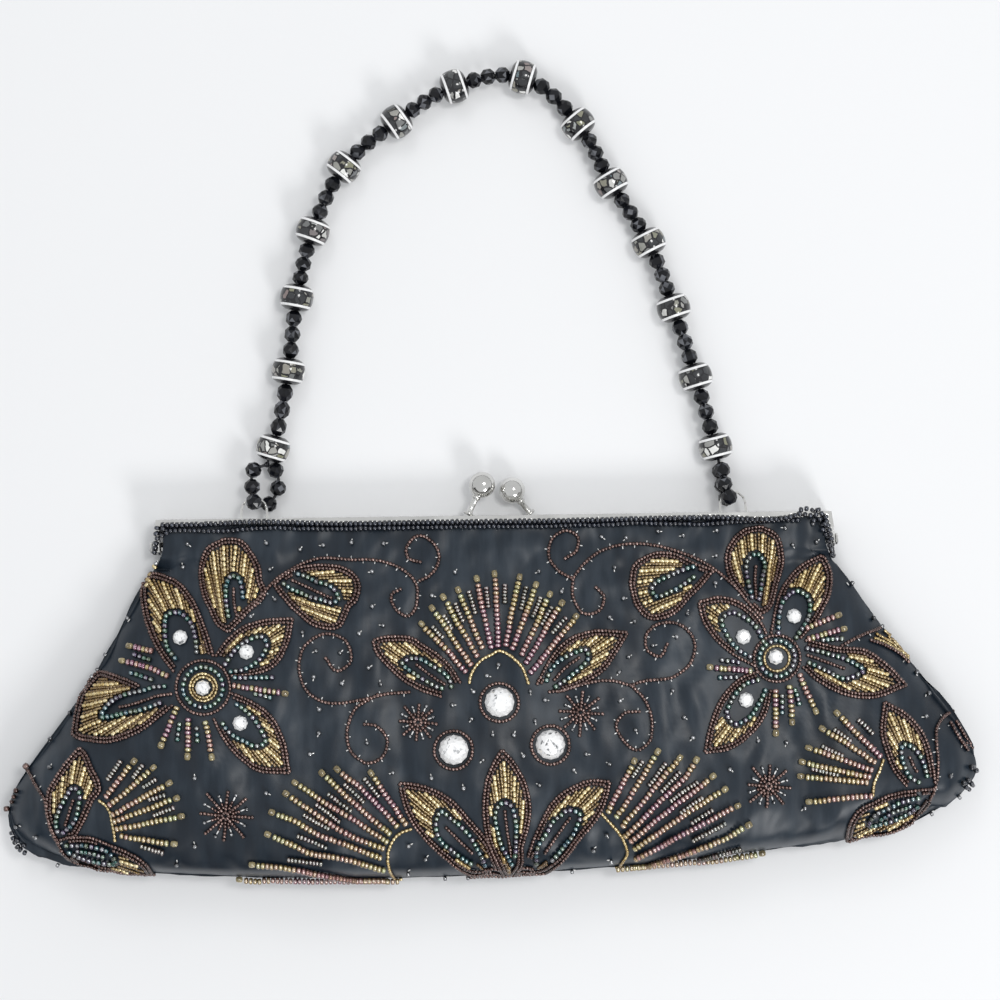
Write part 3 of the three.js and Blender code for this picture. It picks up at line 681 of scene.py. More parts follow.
# each leaf: two edges from base to tip, the iris line inside it, and its midline
leaves = [
    {"edges": ([(213.7, 657), (204, 624.5), (192.7, 599.6), (177, 582), (158, 574.7), (145, 573.5)],
               [(174.5, 672.3), (158, 649), (146.8, 620.6), (143, 592), (145, 573.5)]),
     "iris": [(177.4, 660.8), (167.8, 647.4), (165.9, 632), (168.8, 615), (179.3, 613), (190.8, 622.6),
              (196.5, 639.8), (197.5, 655)]},
    {"edges": ([(215.6, 657), (227, 641.7), (242.4, 628), (265, 620.6), (293, 618.7)],
               [(231, 676), (254, 674), (273, 666.5), (286.4, 647.4), (293, 618.7)]),
     "iris": [(224.3, 666.6), (236.7, 649.4), (250, 639.8), (263.5, 637.9), (267.3, 643.6), (263.5, 655),
              (253.9, 664.7), (242.4, 670.4), (229, 672.3)]},
    {"edges": ([(231, 693), (250, 701), (269, 714), (282.6, 737), (290, 773)],
               [(213.7, 718), (223, 737), (238.6, 756.5), (257.7, 770), (290, 773)]),
     "iris": [(234.8, 703), (248.2, 712.5), (257.7, 724), (264.4, 743), (255.8, 746), (244.4, 741.2),
              (231, 733.5), (221.4, 722)]},
    {"edges": ([(140.7, 686.6), (124.4, 679), (111.4, 674.7), (100.5, 672.5), (91.9, 680), (83.2, 692),
                (78.3, 707.2), (75.6, 721.3), (73.4, 734.3)],
               [(173.2, 705), (158, 718), (141.7, 730), (125.5, 737.6), (109.2, 742), (90.8, 740.8),
                (76.7, 737.6), (73.4, 734.3)]),
     "iris": [(167.8, 686.6), (154.7, 687.7), (141.7, 691.5), (126.6, 695.3), (114.6, 700.7), (106, 709.4),
              (102.7, 717), (114.6, 716.4), (127.6, 713.2), (140.1, 711), (152.6, 706.7), (163.4, 702.9)],
     "middle": [(173.2, 694.2), (158, 696.4), (141.7, 702.3), (120, 707.8)]},
    {"edges": ([(229, 632), (219, 626), (211.8, 613), (202.3, 590), (200.4, 567), (208, 548),
                (223.3, 539.3)],
               [(229, 632), (242.4, 616.8), (265.4, 590), (261.6, 582.4), (259.7, 569), (252, 553.7),
                (240.5, 541.3), (223.3, 539.3)]),
     "iris": [(230, 618.7), (227, 601.5), (227, 586), (232.9, 576.7), (238.6, 578.6), (242.4, 588),
              (243.4, 600.6)],
     "middle": [(237, 616), (234, 601), (234, 588)]},
    {"edges": ([(273.9, 585.5), (283.4, 577), (296, 569.7), (310.8, 566), (326.6, 565.5), (341.3, 567.6),
                (351.8, 573), (358.6, 581), (360, 592)],
               [(273.9, 585.5), (282.4, 597), (291.8, 607.6), (302.4, 617), (313.9, 625.5), (323.4, 628),
                (332.9, 629), (341.3, 625.5), (345.5, 617), (349.7, 607.6), (356, 602), (360, 592)]),
     "iris": [(296, 574), (306.6, 577), (317, 582.4), (327.6, 585.5), (336, 591.8), (339, 600.5),
              (330.8, 603.4), (321, 600), (310.8, 597.6), (300, 593.4), (289.7, 588.7), (282.4, 583)],
     "middle": [(290.8, 580), (307.6, 587.6), (323.4, 595), (333, 599)]},
    {"edges": ([(771, 634.4), (774.5, 613.7), (783.7, 586), (802, 565.5), (821.6, 554)],
               [(799.7, 639), (820.4, 613.7), (829.6, 590.8), (829.6, 572.4), (821.6, 554)]),
     "iris": [(778, 636), (778.5, 618), (784, 600), (797, 592), (808, 599), (809, 614), (801, 630),
              (794, 640)]},
    {"edges": ([(766.5, 634.4), (756, 616), (737.8, 602), (719.4, 597.7), (698.7, 602)],
               [(756, 666.5), (730.9, 652.8), (710.2, 632), (701, 613.7), (698.7, 602)]),
     "iris": [(764, 644), (757, 629), (745, 618), (731, 613), (722, 619), (726, 634), (737, 649),
              (752, 658)]},
    {"edges": ([(758.4, 671), (737.8, 680.3), (721.7, 698.7), (710.2, 726.2), (704.5, 752.6)],
               [(771, 689.5), (765.3, 712.4), (751.5, 733), (728.6, 749), (704.5, 752.6)]),
     "iris": [(760, 679), (744, 685), (732, 699), (727, 716), (735, 724), (748, 718), (759, 703),
              (766, 688)]},
    {"edges": ([(804, 640), (838.8, 648), (864, 650.5), (884.7, 664.2), (905.4, 686)],
               [(802, 666.5), (820.4, 682.6), (843.4, 694), (870.9, 697.5), (905.4, 686)]),
     "iris": [(804, 648), (830, 655), (850, 662), (861.7, 671), (845.7, 679), (825, 671), (806.6, 662)],
     "middle": [(806, 655), (845, 669)]},
    {"edges": ([(758.4, 613.7), (742, 595), (728.6, 574.7), (727.4, 549.4), (742.3, 531), (760.7, 526.5)],
               [(758.4, 613.7), (765.3, 611.4), (776.8, 583.9), (782.5, 556.3), (776.8, 535.7),
                (760.7, 526.5)]),
     "iris": [(752, 600), (747, 580), (747, 561), (756, 554), (762, 561), (761, 583), (758, 602)],
     "middle": [(756, 600), (754.5, 580), (755, 566)]},
    {"edges": ([(713.6, 571), (691.8, 563), (675.8, 555), (652.8, 554), (634.4, 565.5), (629.8, 584)],
               [(713.6, 571), (691.8, 595.4), (668.9, 616), (648, 618), (636.7, 606.8), (629.8, 584)]),
     "iris": [(695, 567), (672, 575), (652, 590), (655, 596), (675, 590), (695, 577)]},
    {"edges": ([(461, 684), (450.4, 667.6), (439, 656), (423.6, 645.6), (411, 638), (396.8, 636.5),
                (384.4, 637), (372.9, 640.8)],
               [(442.7, 697), (420.7, 689.6), (408, 683), (395, 673), (384.4, 663), (375.7, 651),
                (372.9, 640.8)]),
     "iris": [(452, 689.6), (449.4, 680), (440.8, 671), (431, 664.7), (419.7, 659), (408, 659), (402.5, 663),
              (411, 671.4), (420.7, 678), (433, 684.8), (444.6, 689.6)],
     "middle": [(445.6, 685), (429, 674), (416, 664)]},
    {"edges": ([(536, 685), (553, 656), (570.7, 638.6), (592, 631.4), (627, 633)],
               [(547.5, 692), (563.6, 690.4), (586.8, 681.4), (606.4, 667), (617, 651), (627, 633)]),
     "iris": [(545.7, 683), (549, 672.5), (558, 662), (570.7, 654.6), (586.8, 651), (588, 658), (576, 670.7),
              (563.6, 681.4), (553, 688.6)],
     "middle": [(553, 681), (566, 667), (580, 657)]},
    {"edges": ([(506, 877.6), (494.4, 856), (486, 833), (483.6, 806), (486, 783), (492.8, 765), (502, 750)],
               [(512, 877), (521, 864), (522.6, 846), (528.4, 824.6), (529, 801), (522.6, 778),
                (512.6, 761.6),
                (502, 750)]),
     "iris": [(512.6, 863.5), (502.7, 846), (497.7, 829.5), (495, 814.6), (498.6, 804.7), (503.5, 802),
              (511, 804.7), (515, 814.6), (516, 833), (515, 856)],
     "middle": [(511, 856), (507.7, 833), (505, 809.6)]},
    {"edges": ([(499.4, 866), (486, 839.5), (469.5, 819.6), (451, 799.7), (421.5, 785.6), (399, 783)],
               [(492.8, 872.6), (469.5, 872.6), (446, 857.7), (426.4, 839.5), (413, 823), (403, 799.7),
                (399, 783)]),
     "iris": [(486, 864), (477.8, 849), (468, 833), (451, 818), (439.7, 811), (436.4, 819.6), (439.7, 838),
              (454.6, 851), (473, 862.7)],
     "middle": [(472.9, 852.8), (444.7, 826.2)]},
    {"edges": ([(527.6, 856), (537.5, 829.5), (552.4, 803), (570.7, 788), (592, 780.6), (610.5, 781.5)],
               [(524, 874), (545.8, 871), (562.4, 859.4), (579, 839.5), (595.6, 819.6), (607, 796.4),
                (610.5, 781.5)]),
     "iris": [(536, 862.7), (537.5, 846), (545.8, 833), (557.4, 818), (570.7, 809.6), (579.8, 813),
              (575.7, 829.5), (564, 844.5), (550.8, 859.4)],
     "middle": [(544.2, 852.8), (570.7, 816.3)]},
    {"edges": ([(59.4, 842.7), (49.7, 822), (47.3, 806), (48.5, 793), (57, 777), (68, 761.5), (80, 748)],
               [(66, 837), (75, 835), (80, 828), (87, 813.6), (93, 800), (100.6, 790.6), (99.4, 781),
                (93, 769), (84.8, 752), (80, 748)]),
     "iris": [(63, 833), (71.5, 826), (76, 820), (80, 806), (80, 793), (74, 788), (69, 795), (61.8, 807.5),
              (57, 821), (59.4, 833)],
     "middle": [(66, 826), (70, 812), (74, 799)]},
    {"edges": ([(60.6, 839), (75, 836.6), (89.7, 837), (109, 844), (127, 851), (145, 862), (155.4, 876)],
               [(60.7, 849), (75, 862), (93, 867), (111, 872.5), (132, 878), (155.4, 876)]),
     "iris": [(66, 844), (90, 845), (112, 853), (116, 860), (100, 860), (80, 855), (68, 850)],
     "second": [(76, 849.5), (92, 851.5), (106, 856)]},
    {"edges": ([(907, 786.5), (892.6, 769), (885.4, 751), (881.4, 735.5), (881.4, 718), (883.8, 702)],
               [(934, 783), (931, 759), (924.5, 738.6), (915, 724), (899, 710), (883.8, 702)]),
     "iris": [(919.7, 782.5), (910, 777), (903.7, 766), (900.6, 753), (902, 745), (910, 746.6), (918, 754.6),
              (923, 767), (927, 778.5)],
     "middle": [(916.5, 772.2), (908.6, 756.2)]},
    {"edges": ([(934, 788), (916.5, 790), (896, 793), (875, 801), (859, 809), (849.6, 821.5), (846, 839)],
               [(929, 801), (915, 818), (900.6, 831), (876.7, 837.5), (854, 842), (846, 839)]),
     "iris": [(919.7, 796), (900, 801), (887.8, 807), (872, 815), (868, 822), (885, 820), (905, 812),
              (918, 803)],
     "second": [(911, 803.5), (895, 809.5), (879, 817.5)]},
]
leafFill = {
    # in pixels: between rows, from the outline to the inner row and to the fill, from the iris line and the
    # stones to the fill, and the shortest row that is sewn
    "rowGap": 2.45, "innerGap": 3.5, "edgeGap": 5.6, "irisGap": 3.7, "stoneGap": 10.0, "shortest": 6.0,
    "apexBack": 0.45, "gapAt": 0.62,      # where the fan of rows starts and its gap is measured, by length
    "brightEvery": 3, "brightSize": 1.42,
    # tints of a bright row and of the two amber ones beside it, from the leaf's base to its tip
    "bright": (0.26, 0.70, 1.0, 1.0, 0.84), "amber": (0.04, 0.15, 0.30, 0.36, 0.22),
    "inner": (0.0, 0.3, 0.15),
}
smallStones = [(181, 638.8), (247, 654.7), (241, 724.3), (793, 615), (742, 638), (745, 700)]


# The stretches of a line that are clear and long enough to sew
def clearParts(line, clear):
    edges = np.flatnonzero(np.diff(np.concatenate([[0], clear.astype(int), [0]])))
    parts = [line[start:end] for start, end in zip(edges[::2], edges[1::2])]
    return [part for part in parts if len(part) > leafFill["shortest"]]


# Rows fanned out from behind the base, stopped by the outline and by the iris line
def fillLeaf(outline, iris, base, tip):
    apex = base + (base - tip) * leafFill["apexBack"]
    reach = outline - apex
    heading = math.atan2(*(tip - apex)[::-1])
    turns = (np.arctan2(reach[:, 1], reach[:, 0]) - heading + math.pi) % math.tau - math.pi
    far = np.linalg.norm(reach, axis=1).max()
    step = leafFill["rowGap"] / (leafFill["gapAt"] * far)
    for row, turn in enumerate(np.arange(turns.min() + step * 0.6, turns.max(), step)):
        aim = np.array([math.cos(heading + turn), math.sin(heading + turn)])
        ray = apex + np.arange(0, far, 1.0)[:, None] * aim
        clear = inside(ray, outline) & (awayFrom(ray, outline) > leafFill["edgeGap"])
        clear &= (awayFrom(ray, iris) > leafFill["irisGap"]) & ~inside(ray, iris)
        for stone in smallStones:
            clear &= np.linalg.norm(ray - stone, axis=1) > leafFill["stoneGap"]
        amber = row % leafFill["brightEvery"] > 0
        tints = leafFill["amber" if amber else "bright"]
        for part in clearParts(ray, clear):
            share = (part - base) @ (tip - base) / ((tip - base) @ (tip - base))
            shades = np.interp(share, np.linspace(0.05, 1, len(tints)), tints)
            layRow("gold", part, shades, size=1.0 if amber else leafFill["brightSize"], straight=True)


# A dark row just inside an edge of the leaf
def lineLeaf(edge, outline, iris):
    runs = np.gradient(edge, axis=0)
    across = np.stack([-runs[:, 1], runs[:, 0]], axis=1) / (np.linalg.norm(runs, axis=1)[:, None] + 1e-9)
    middle = len(edge) // 2
    if not inside(edge[middle:middle + 1] + across[middle:middle + 1] * 2, outline)[0]:
        across = -across
    inner = edge + across * leafFill["innerGap"]
    clear = inside(inner, outline) & (awayFrom(inner, outline) > leafFill["innerGap"] - 0.5)
    clear &= awayFrom(inner, iris) > leafFill["irisGap"] - 0.6
    for part in clearParts(inner, clear):
        layRow("bronze", part, leafFill["inner"], straight=True)


for leaf in leaves:
    upper, lower = (smoothLine(edge) for edge in leaf["edges"])
    layRow("bronze", upper, straight=True)
    layRow("bronze", lower, straight=True)
    iris = smoothLine(leaf["iris"])
    layRow("iris", iris, straight=True)
    if "middle" in leaf:
        layRow("bronze", leaf["middle"])
    if "second" in leaf:
        layRow("iris", leaf["second"], size=0.9)
    outline = np.concatenate([upper, lower[::-1], upper[:1]])
    lineLeaf(upper, outline, iris)
    lineLeaf(lower, outline, iris)
    fillLeaf(outline, iris, (upper[0] + lower[0]) / 2, upper[-1])
print("leaves laid,", len(laid["gold"]), "gold beads")

# rings round the flowers and stones: middle, radius, kind
rings = [
    ((203.5, 687.6), 27, "bronze"), ((203.5, 687.6), 20, "iris"), ((203.5, 687.6), 13.6, "gold"),
    ((203.5, 687.6), 10.4, "gold"),
    ((776.8, 658.5), 23, "bronze"), ((776.8, 658.5), 12.6, "gold"), ((776.8, 658.5), 17.6, "iris"),
]
largeStoneRing = 19.2
rings += [
    (pixelOf(middle), largeStoneRing, "bronze")
    for name, middle in zip(stoneNames, stoneMiddles) if name.startswith("stone_centre")]
for middle, radius, kind in rings:
    layRow(kind, circle(middle, radius), straight=True)

# scrolling stems
stems = [
    [(229, 632), (255, 604.5), (265.5, 591.8), (276, 580), (289.7, 570.8), (304.5, 563.4), (320, 558.7),
     (337, 559),
     (355, 560), (371, 560), (388.6, 563.4), (402, 569.7), (412.8, 579), (417, 587.6), (417, 598),
     (415, 609.7),
     (406.5, 616.6), (400, 613), (391.8, 601), (391.8, 596), (402.3, 588.7)],
    [(418, 582), (432, 574), (439, 558), (432, 542), (419, 536), (407, 547), (408, 558), (422, 563)],
    [(325, 657), (336, 671), (351, 662), (346, 641), (327, 634), (305, 646), (299, 665), (308, 692),
     (321, 701),
     (356, 701), (387, 694), (411, 692)],
    [(379, 694), (355, 710), (347, 732), (352, 753), (368, 763), (383, 756), (387, 740), (376, 726),
     (363, 724)],
    [(564, 560), (577, 550), (577, 536), (566, 531), (552, 540), (549, 558), (558, 571), (573, 579)],
    [(573, 579), (585, 563), (609, 548), (636, 544), (679, 552), (704, 563), (726, 579), (763, 619)],
    [(573, 579), (573, 598), (585, 614), (599, 611), (604, 598), (595, 587)],
    [(668, 643), (660, 657), (648, 651), (646, 635), (657, 625), (680, 625), (694, 641), (691, 662),
     (675, 676),
     (640, 682), (631, 685), (614, 681), (577, 686), (556, 692)],
    [(631, 685), (646, 702), (652, 721), (649, 742), (636, 750), (623, 740), (616, 724), (625, 713),
     (641, 712)],
    [(28, 769), (36.4, 784.5), (44.8, 799), (47, 810), (52, 830), (59.4, 844), (68, 856), (79, 862)],
    [(954.7, 710), (942, 718), (936.4, 727.5), (935.6, 743), (937, 759), (935.6, 783), (929, 799)],
    [(954.7, 721), (964, 737), (972, 748)],
    [(949, 722), (958, 738), (967, 751)],
    [(840, 646), (859, 636.7), (880, 628)],
    [(868.7, 640), (887.8, 647.8), (900.6, 655.8), (908.5, 663.7)],
    [(466, 881), (493, 877), (506, 878.5), (524, 875), (542.5, 879)],
    [(478, 873), (490, 871), (501, 873)],
    [(484, 868.5), (493, 867), (502, 869)],
    [(514, 873), (523, 870), (534, 871.5)],
    [(517, 868.5), (524, 866), (533, 867.5)],
]
for stem in stems:
    layRow("bronze", stem)
    layStitches(stem)
edgeRows = [
    [(875, 634), (893, 645), (908.5, 660)], [(883, 631), (899, 643), (911, 656)],
    [(873, 638), (890, 646), (906, 660)],
]
for row in edgeRows:
    layRow("gold", row)

# sprays of the two flowers: kind, line from the flower outwards, end bead
sprays = [
    ("fan", [(154.7, 652), (135, 647.5)], "clear"), ("iris", [(152.6, 661), (133.6, 654.6)], None),
    ("fan", [(170, 677), (149, 668), (128, 662.5)], "clear"), ("iris", [(154.7, 680.7),
                                                                        (129.8, 672.5)], None),
    ("fan", [(178, 707), (170, 725.6), (164, 741)], "clear"), ("iris", [(179.7, 722), (177.5, 742.5)], None),
    ("fan", [(189.4, 718), (188, 752)], "clear"), ("iris", [(197, 725.6), (198, 744)], None),
    ("fan", [(205, 721), (209, 736.5), (211.2, 753)], "clear"), ("iris", [(233, 678), (275, 678)], None),
    ("fan", [(232.9, 685.7), (280.5, 692.8)], "clear"), ("iris", [(253.9, 693.4), (273, 698)], None),
    ("fan", [(804.3, 629.8), (833, 617.5)], "clear"), ("fan", [(806, 640), (839, 631)], "clear"),
    ("iris", [(820, 641), (843, 639)], None),
    ("fan", [(751.5, 671), (714, 668)], "clear"), ("iris", [(740, 663), (719.4, 659.6)], None),
    ("iris", [(738, 677), (717, 678)], None),
    ("fan", [(775.6, 689.5), (775.6, 729)], "clear"), ("iris", [(782, 694), (782.5, 714.7)], None),
    ("fan", [(789.4, 685), (791.5, 717.5)], "clear"), ("iris", [(794, 688), (799.7, 705.6)], None),
    ("fan", [(798.6, 673.4), (814.5, 707)], "clear"),
]
# fans: hub, long rows from tip to hub, short rows between them
fans = [
    {"hub": [(469.5, 684), (471.4, 675), (476, 666.6), (482, 660), (491.5, 655), (499, 651.3), (508.7, 655),
             (520, 664.7), (529, 684)],
     "tints": (0.85, 0.62, 0.45, 0.25),
     "rows": [((421.7, 624.5), (467.6, 673)), ((432.7, 609), (472.4, 666.6)), ((443.7, 598), (478, 658)),
              ((458, 590.6), (483, 649.4)), ((476.7, 579.6), (491.5, 649.4)), ((494.4, 574.8),
                                                                               (498.7, 648.4)),
              ((519, 578), (506, 648)), ((536, 586), (512.7, 651)), ((550, 595), (520.7, 657)),
              ((561.8, 604), (525, 665)), ((576, 617), (529.6, 674))],
     "short": [((432, 626), (443.7, 639)), ((442.7, 615), (453, 630)), ((455, 603.5), (463.8, 622.6)),
               ((468.5, 591), (476, 615)), ((486.7, 588), (488.6, 609)), ((505.4, 585), (505, 604.4)),
               ((527, 588), (520, 611)), ((541, 597), (532, 619)), ((553, 607), (541, 626)),
               ((566, 618), (552, 634))]},
    {"hub": [(412, 828), (398, 834.5), (389, 849), (388, 864), (395, 877.6), (403, 884)],
     "tints": (0.80, 0.45, 0.40, 0.75),
     "rows": [((371, 773), (406.8, 824)), ((338, 769.5), (366.6, 793.5), (398.8, 826.6)),
              ((323, 773), (362, 810.5), (391.6, 834)), ((295, 783), (389, 842)),
              ((286, 793.6), (311, 811), (333, 825), (350, 834.5), (385, 848)),
              ((272, 812), (296, 821.5), (317, 833.5), (343, 842.5), (382, 857)),
              ((268, 834), (294, 844.5), (306, 850), (340, 856), (385, 868)),
              ((252, 863), (278, 865), (317, 871.5), (356, 877.5), (389, 881)), ((239, 883),
                                                                                 (399.6, 884.6))],
     "short": [((364, 778), (380, 797)), ((344, 783), (364, 802.5)), ((328, 793), (351, 811)),
               ((316, 804), (341, 822)), ((303, 815), (330, 829)), ((297, 835), (328, 847)),
               ((287, 858), (323, 862))]},
    {"hub": [(600.5, 813), (612, 824.6), (623.7, 839.5), (627, 853), (620, 864), (615.5, 872.6)],
     "tints": (0.80, 0.45, 0.45, 0.75),
     "rows": [((633.5, 761), (608.6, 813)), ((658, 751.5), (616, 818)), ((679, 758), (622, 826)),
              ((696, 760), (687, 775.5), (670, 791.5), (653, 807.5), (625, 835)),
              ((713, 776), (630, 839.5)), ((724, 789), (633.5, 847)), ((737, 805), (635, 857)),
              ((748, 824), (727, 835.5), (706, 844), (687, 851), (664, 858), (632, 867)),
              ((762, 852), (747, 859), (729, 863), (694, 866), (656, 870), (616, 872))],
     "short": [((643, 761), (632, 778)), ((667, 762), (648, 786.5)), ((679.5, 771.5), (660.5, 792)),
               ((697, 781.5), (669.5, 801.5)), ((702.5, 797), (680, 812.5)), ((713, 809), (690.5, 822.5)),
               ((725.5, 822.5), (692, 839.5)), ((741.5, 846.5), (698, 857.5))]},
    {"hub": [(99, 800), (108, 807.5), (113, 824.5), (116, 841.5)],
     "tints": (0.85, 0.65, 0.60, 0.45),
     "rows": [((134.5, 761.5), (106.6, 798)), ((154, 767.5), (110, 806)), ((169.6, 783), (113, 815)),
              ((177, 798), (114, 822)), ((182, 816), (116, 829)), ((174.5, 843), (120, 835))],
     "short": [((122, 760), (108, 780)), ((165, 852), (141, 845)), ((144, 764), (133, 778)),
               ((157.5, 778.5), (143, 787)), ((166, 794), (149, 800)), ((174.5, 807.5), (153, 816))]},
    {"hub": [(883, 759), (880, 769), (874, 783), (872, 796)],
     "tints": (0.85, 0.65, 0.60, 0.45),
     "rows": [((836.5, 713.6), (880, 758)), ((822.7, 728.5), (875.5, 763)), ((809, 748), (873, 770)),
              ((802, 762), (871, 777)), ((800, 775.6), (868.6, 782.5)), ((809, 801), (871, 795))],
     "short": [((857, 719), (872, 735)), ((833, 729), (851, 742)), ((821, 746), (843, 756)),
               ((812, 768), (838, 775))]},
]
for kind, line, end in sprays:
    layRow(kind, line)
    if end:
        run = np.array(line[-1]) - np.array(line[-2])
        layBead(end, np.array(line[-1]) + run / np.linalg.norm(run) * sewing["sprayEnd"], towards=line[-1])
hub = {"tints": (0.75, 0.9, 0.75), "size": 1.08}
rowDrift = 0.2      # of the tints, from row to row
for fan in fans:
    layRow("gold", fan["hub"], hub["tints"], size=hub["size"])
    for tip, *rest in fan["rows"]:
        run = np.array(rest[0]) - np.array(tip)
        layBead("clear", tip, towards=rest[0])
        drift = rng.uniform(-rowDrift, rowDrift)
        tints = [tint + drift for tint in fan["tints"]]
        layRow("fan", [np.array(tip) + run / np.linalg.norm(run) * sewing["fanEnd"], *rest], tints)
    for row in fan["short"]:
        layRow("bar", row)

star = {
    "rays": 16, "lean": 0.2,
    "plain": (0.92, 1.1), "tipped": (0.72, 0.92),       # lengths of the two kinds of ray, by the reach
    "plainFrom": 1.5, "tippedFrom": 7, "tipSize": 0.8,  # starts in pixels
    "stitchBack": 4, "rowBack": 6.5,                    # pixels back from the tip
    # middle, reach
    "places": [((226, 815.4), 27), ((418, 722.5), 20), ((581.4, 712.7), 23), ((768, 786), 23)],
}
for middle, reach in star["places"]:
    for k in range(star["rays"]):
        turn = math.tau * (k + star["lean"]) / star["rays"]
        aim = np.array([math.cos(turn), math.sin(turn)])
        if k % 2 == 0:
            tip = middle + aim * reach * rng.uniform(*star["plain"])
            layRow("bronze", [middle + aim * star["plainFrom"], tip])
        else:
            out = reach * rng.uniform(*star["tipped"])
            layBead("silver", middle + aim * out, star["tipSize"])
            layBead("stitch", middle + aim * (out - star["stitchBack"]), 1.2, towards=middle)
            ends = [middle + aim * star["tippedFrom"], middle + aim * (out - star["rowBack"])]
            layRow("bronze", ends, size=0.85)

# single beads sewn here and there on the satin
singles = [
    (188, 544), (155, 564), (183, 566), (124.6, 616.6), (267, 544), (270, 570), (300, 550), (323, 546),
    (352, 543),
    (384, 544), (275, 600), (251, 617), (303, 633), (372, 572), (372, 607), (383, 626), (359, 634),
    (316, 651),
    (340, 653), (369, 668), (314, 677), (342, 684), (380, 684), (320, 710), (319, 733), (367, 743),
    (310, 754),
    (393, 773), (195, 778), (455, 573), (432, 596), (452, 705), (472, 719), (499, 665), (487, 676),
    (474, 692),
    (530, 691), (545, 700), (493, 735), (514, 735), (535, 721), (483, 760), (524, 756), (539, 572),
    (562, 592),
    (614, 568), (623, 599), (609, 618), (634, 622), (628, 657), (619, 672), (620, 701), (586, 754),
    (610, 764),
    (574, 770), (540, 785), (464, 788), (432, 778), (602, 537), (626, 538), (658, 532), (683, 536),
    (717, 531),
    (716, 556), (785, 528), (792, 545), (816, 542), (812, 524), (715, 584), (688, 614), (676, 637),
    (653, 646),
    (672, 691), (684, 717), (636, 730), (693, 738), (758, 741), (786, 743), (730, 769), (927, 694),
    (925, 717),
    (949, 776), (804, 808), (872, 619), (572, 872), (593, 849), (607, 834), (611, 860), (409, 845),
    (426, 858),
    (408, 872), (445, 877), (468, 882), (267, 793), (51, 768), (195, 845), (177, 863), (37, 836), (28, 769),
    (52, 740), (71.5, 714), (58, 864.5), (104, 655), (92, 677), (97, 670), (958, 796), (931.6, 813.5),
    (915, 672.5), (883, 626), (851, 584), (18, 826), (972, 767),
]
for spot in singles:
    turn = rng.uniform(0, math.tau)
    layBead("silver", spot)
    beside = np.array(spot) + sewing["loneStitch"] * np.array([math.cos(turn), math.sin(turn)])
    layBead("stitch", beside, towards=spot)

# larger beads on the left edge: kind, place, size
edgeBeads = [
    ("bronze", (28, 768.5), 1.9), ("bronze", (18, 791.5), 1.5), ("bronze", (15.5, 797), 1.2),
    ("bronze", (13.5, 802), 1.2), ("bronze", (9.5, 808.5), 1.7),
    ("gold", (145, 572), 1.5), ("gold", (142.5, 577), 1.5), ("gold", (148, 570.5), 1.5),
    ("gold", (143.5, 583), 1.5),
]
for kind, spot, size in edgeBeads:
    layBead(kind, spot, size)

# jet beads along the frame and heaped at the corners, some of them on the metal
trim = {
    "rimLevel": 11.25 * mm,
    "earLevel": 8.75 * mm,
    "onRim": [
        [(160, 525), (194, 524.6), (258, 521.8), (328, 523.6), (440, 522), (600, 519.8), (640, 518.6),
         (710, 517.2),
         (794, 515.6), (802, 513)],
        [(826, 519), (829.5, 531), (832, 541)],
    ],
    "onCloth": [
        [(162, 530.6), (190, 530.4), (219, 531.8), (258, 528.6), (328, 529.4), (440, 527.6), (600, 525),
         (640, 523.8),
         (703, 524.6), (752, 521.4), (800, 520)],
        [(833.5, 545), (836, 553), (838, 559)],
        [(821, 523), (825, 535), (828.5, 546), (832, 556)],
    ],
    "onEar": [(156.5, 541), (155, 545.4), (154.6, 550), (153.4, 554.4)],
    "heap": [
        (157, 528), (156, 533.5), (161.5, 535.5), (157, 538.5), (163, 529), (166.5, 533), (801, 509.8),
        (806.5, 508.6),
        (812.5, 510.2), (818, 509.6), (805, 514.4), (810.5, 515.6), (816, 514.6), (822, 513.6), (820, 519),
        (826, 517),
        (814, 520.4), (825, 524), (823, 529.5),
    ],
    "heapLift": (-0.2, 0.5),      # mm
    "bottomCorners": [
        (12.5, 833), (14, 838), (14, 843), (18.5, 840), (20, 845.5), (16, 848), (19.5, 850.5), (25, 851.5),
        (969.5, 767), (974, 770), (966, 779), (970, 782.5), (973, 785.5), (964, 786), (968, 788.5),
        (961.5, 782),
    ],
}
for row in trim["onRim"]:
    layRow("black", row, level=trim["rimLevel"])
layRow("black", trim["onEar"], level=trim["earLevel"])
for row in trim["onCloth"]:
    layRow("black", row)
for spot in trim["heap"]:
    layBead("black", spot, level=trim["rimLevel"] + rng.uniform(*trim["heapLift"]) * mm)
for spot in trim["bottomCorners"]:
    layBead("black", spot)


# One seed bead: a rounded ring, blunt at its ends
def seedBead(sides):
    bm = lathe([(0.18, -0.46), (0.42, -0.37), (0.50, 0.0), (0.42, 0.37), (0.18, 0.46)], sides)
    bmesh.ops.holes_fill(bm, edges=[edge for edge in bm.edges if edge.is_boundary], sides=0)
    return meshFrom(bm, "seed_bead", True)


# The bead unrolled into a square, its two ends along the top and bottom
def beadMap(shape):
    spots = []
    for face in shape.polygons:
        places = [shape.vertices[k].co for k in face.vertices]
        if len(places) > 4:
            low = 0.015 if face.center.z < 0 else 0.965
            spots += [(0.5 + p.x, low + 0.02 * (p.y + 0.5)) for p in places]
        else:
            turns = [math.atan2(p.y, p.x) / math.tau + 0.5 for p in places]
            wraps = max(turns) - min(turns) > 0.5
            turns = [t + (wraps and t < 0.5) for t in turns]
            spots += [(t * 0.86 + 0.005, p.z * 0.96 + 0.5) for t, p in zip(turns, places)]
    return np.array(spots)
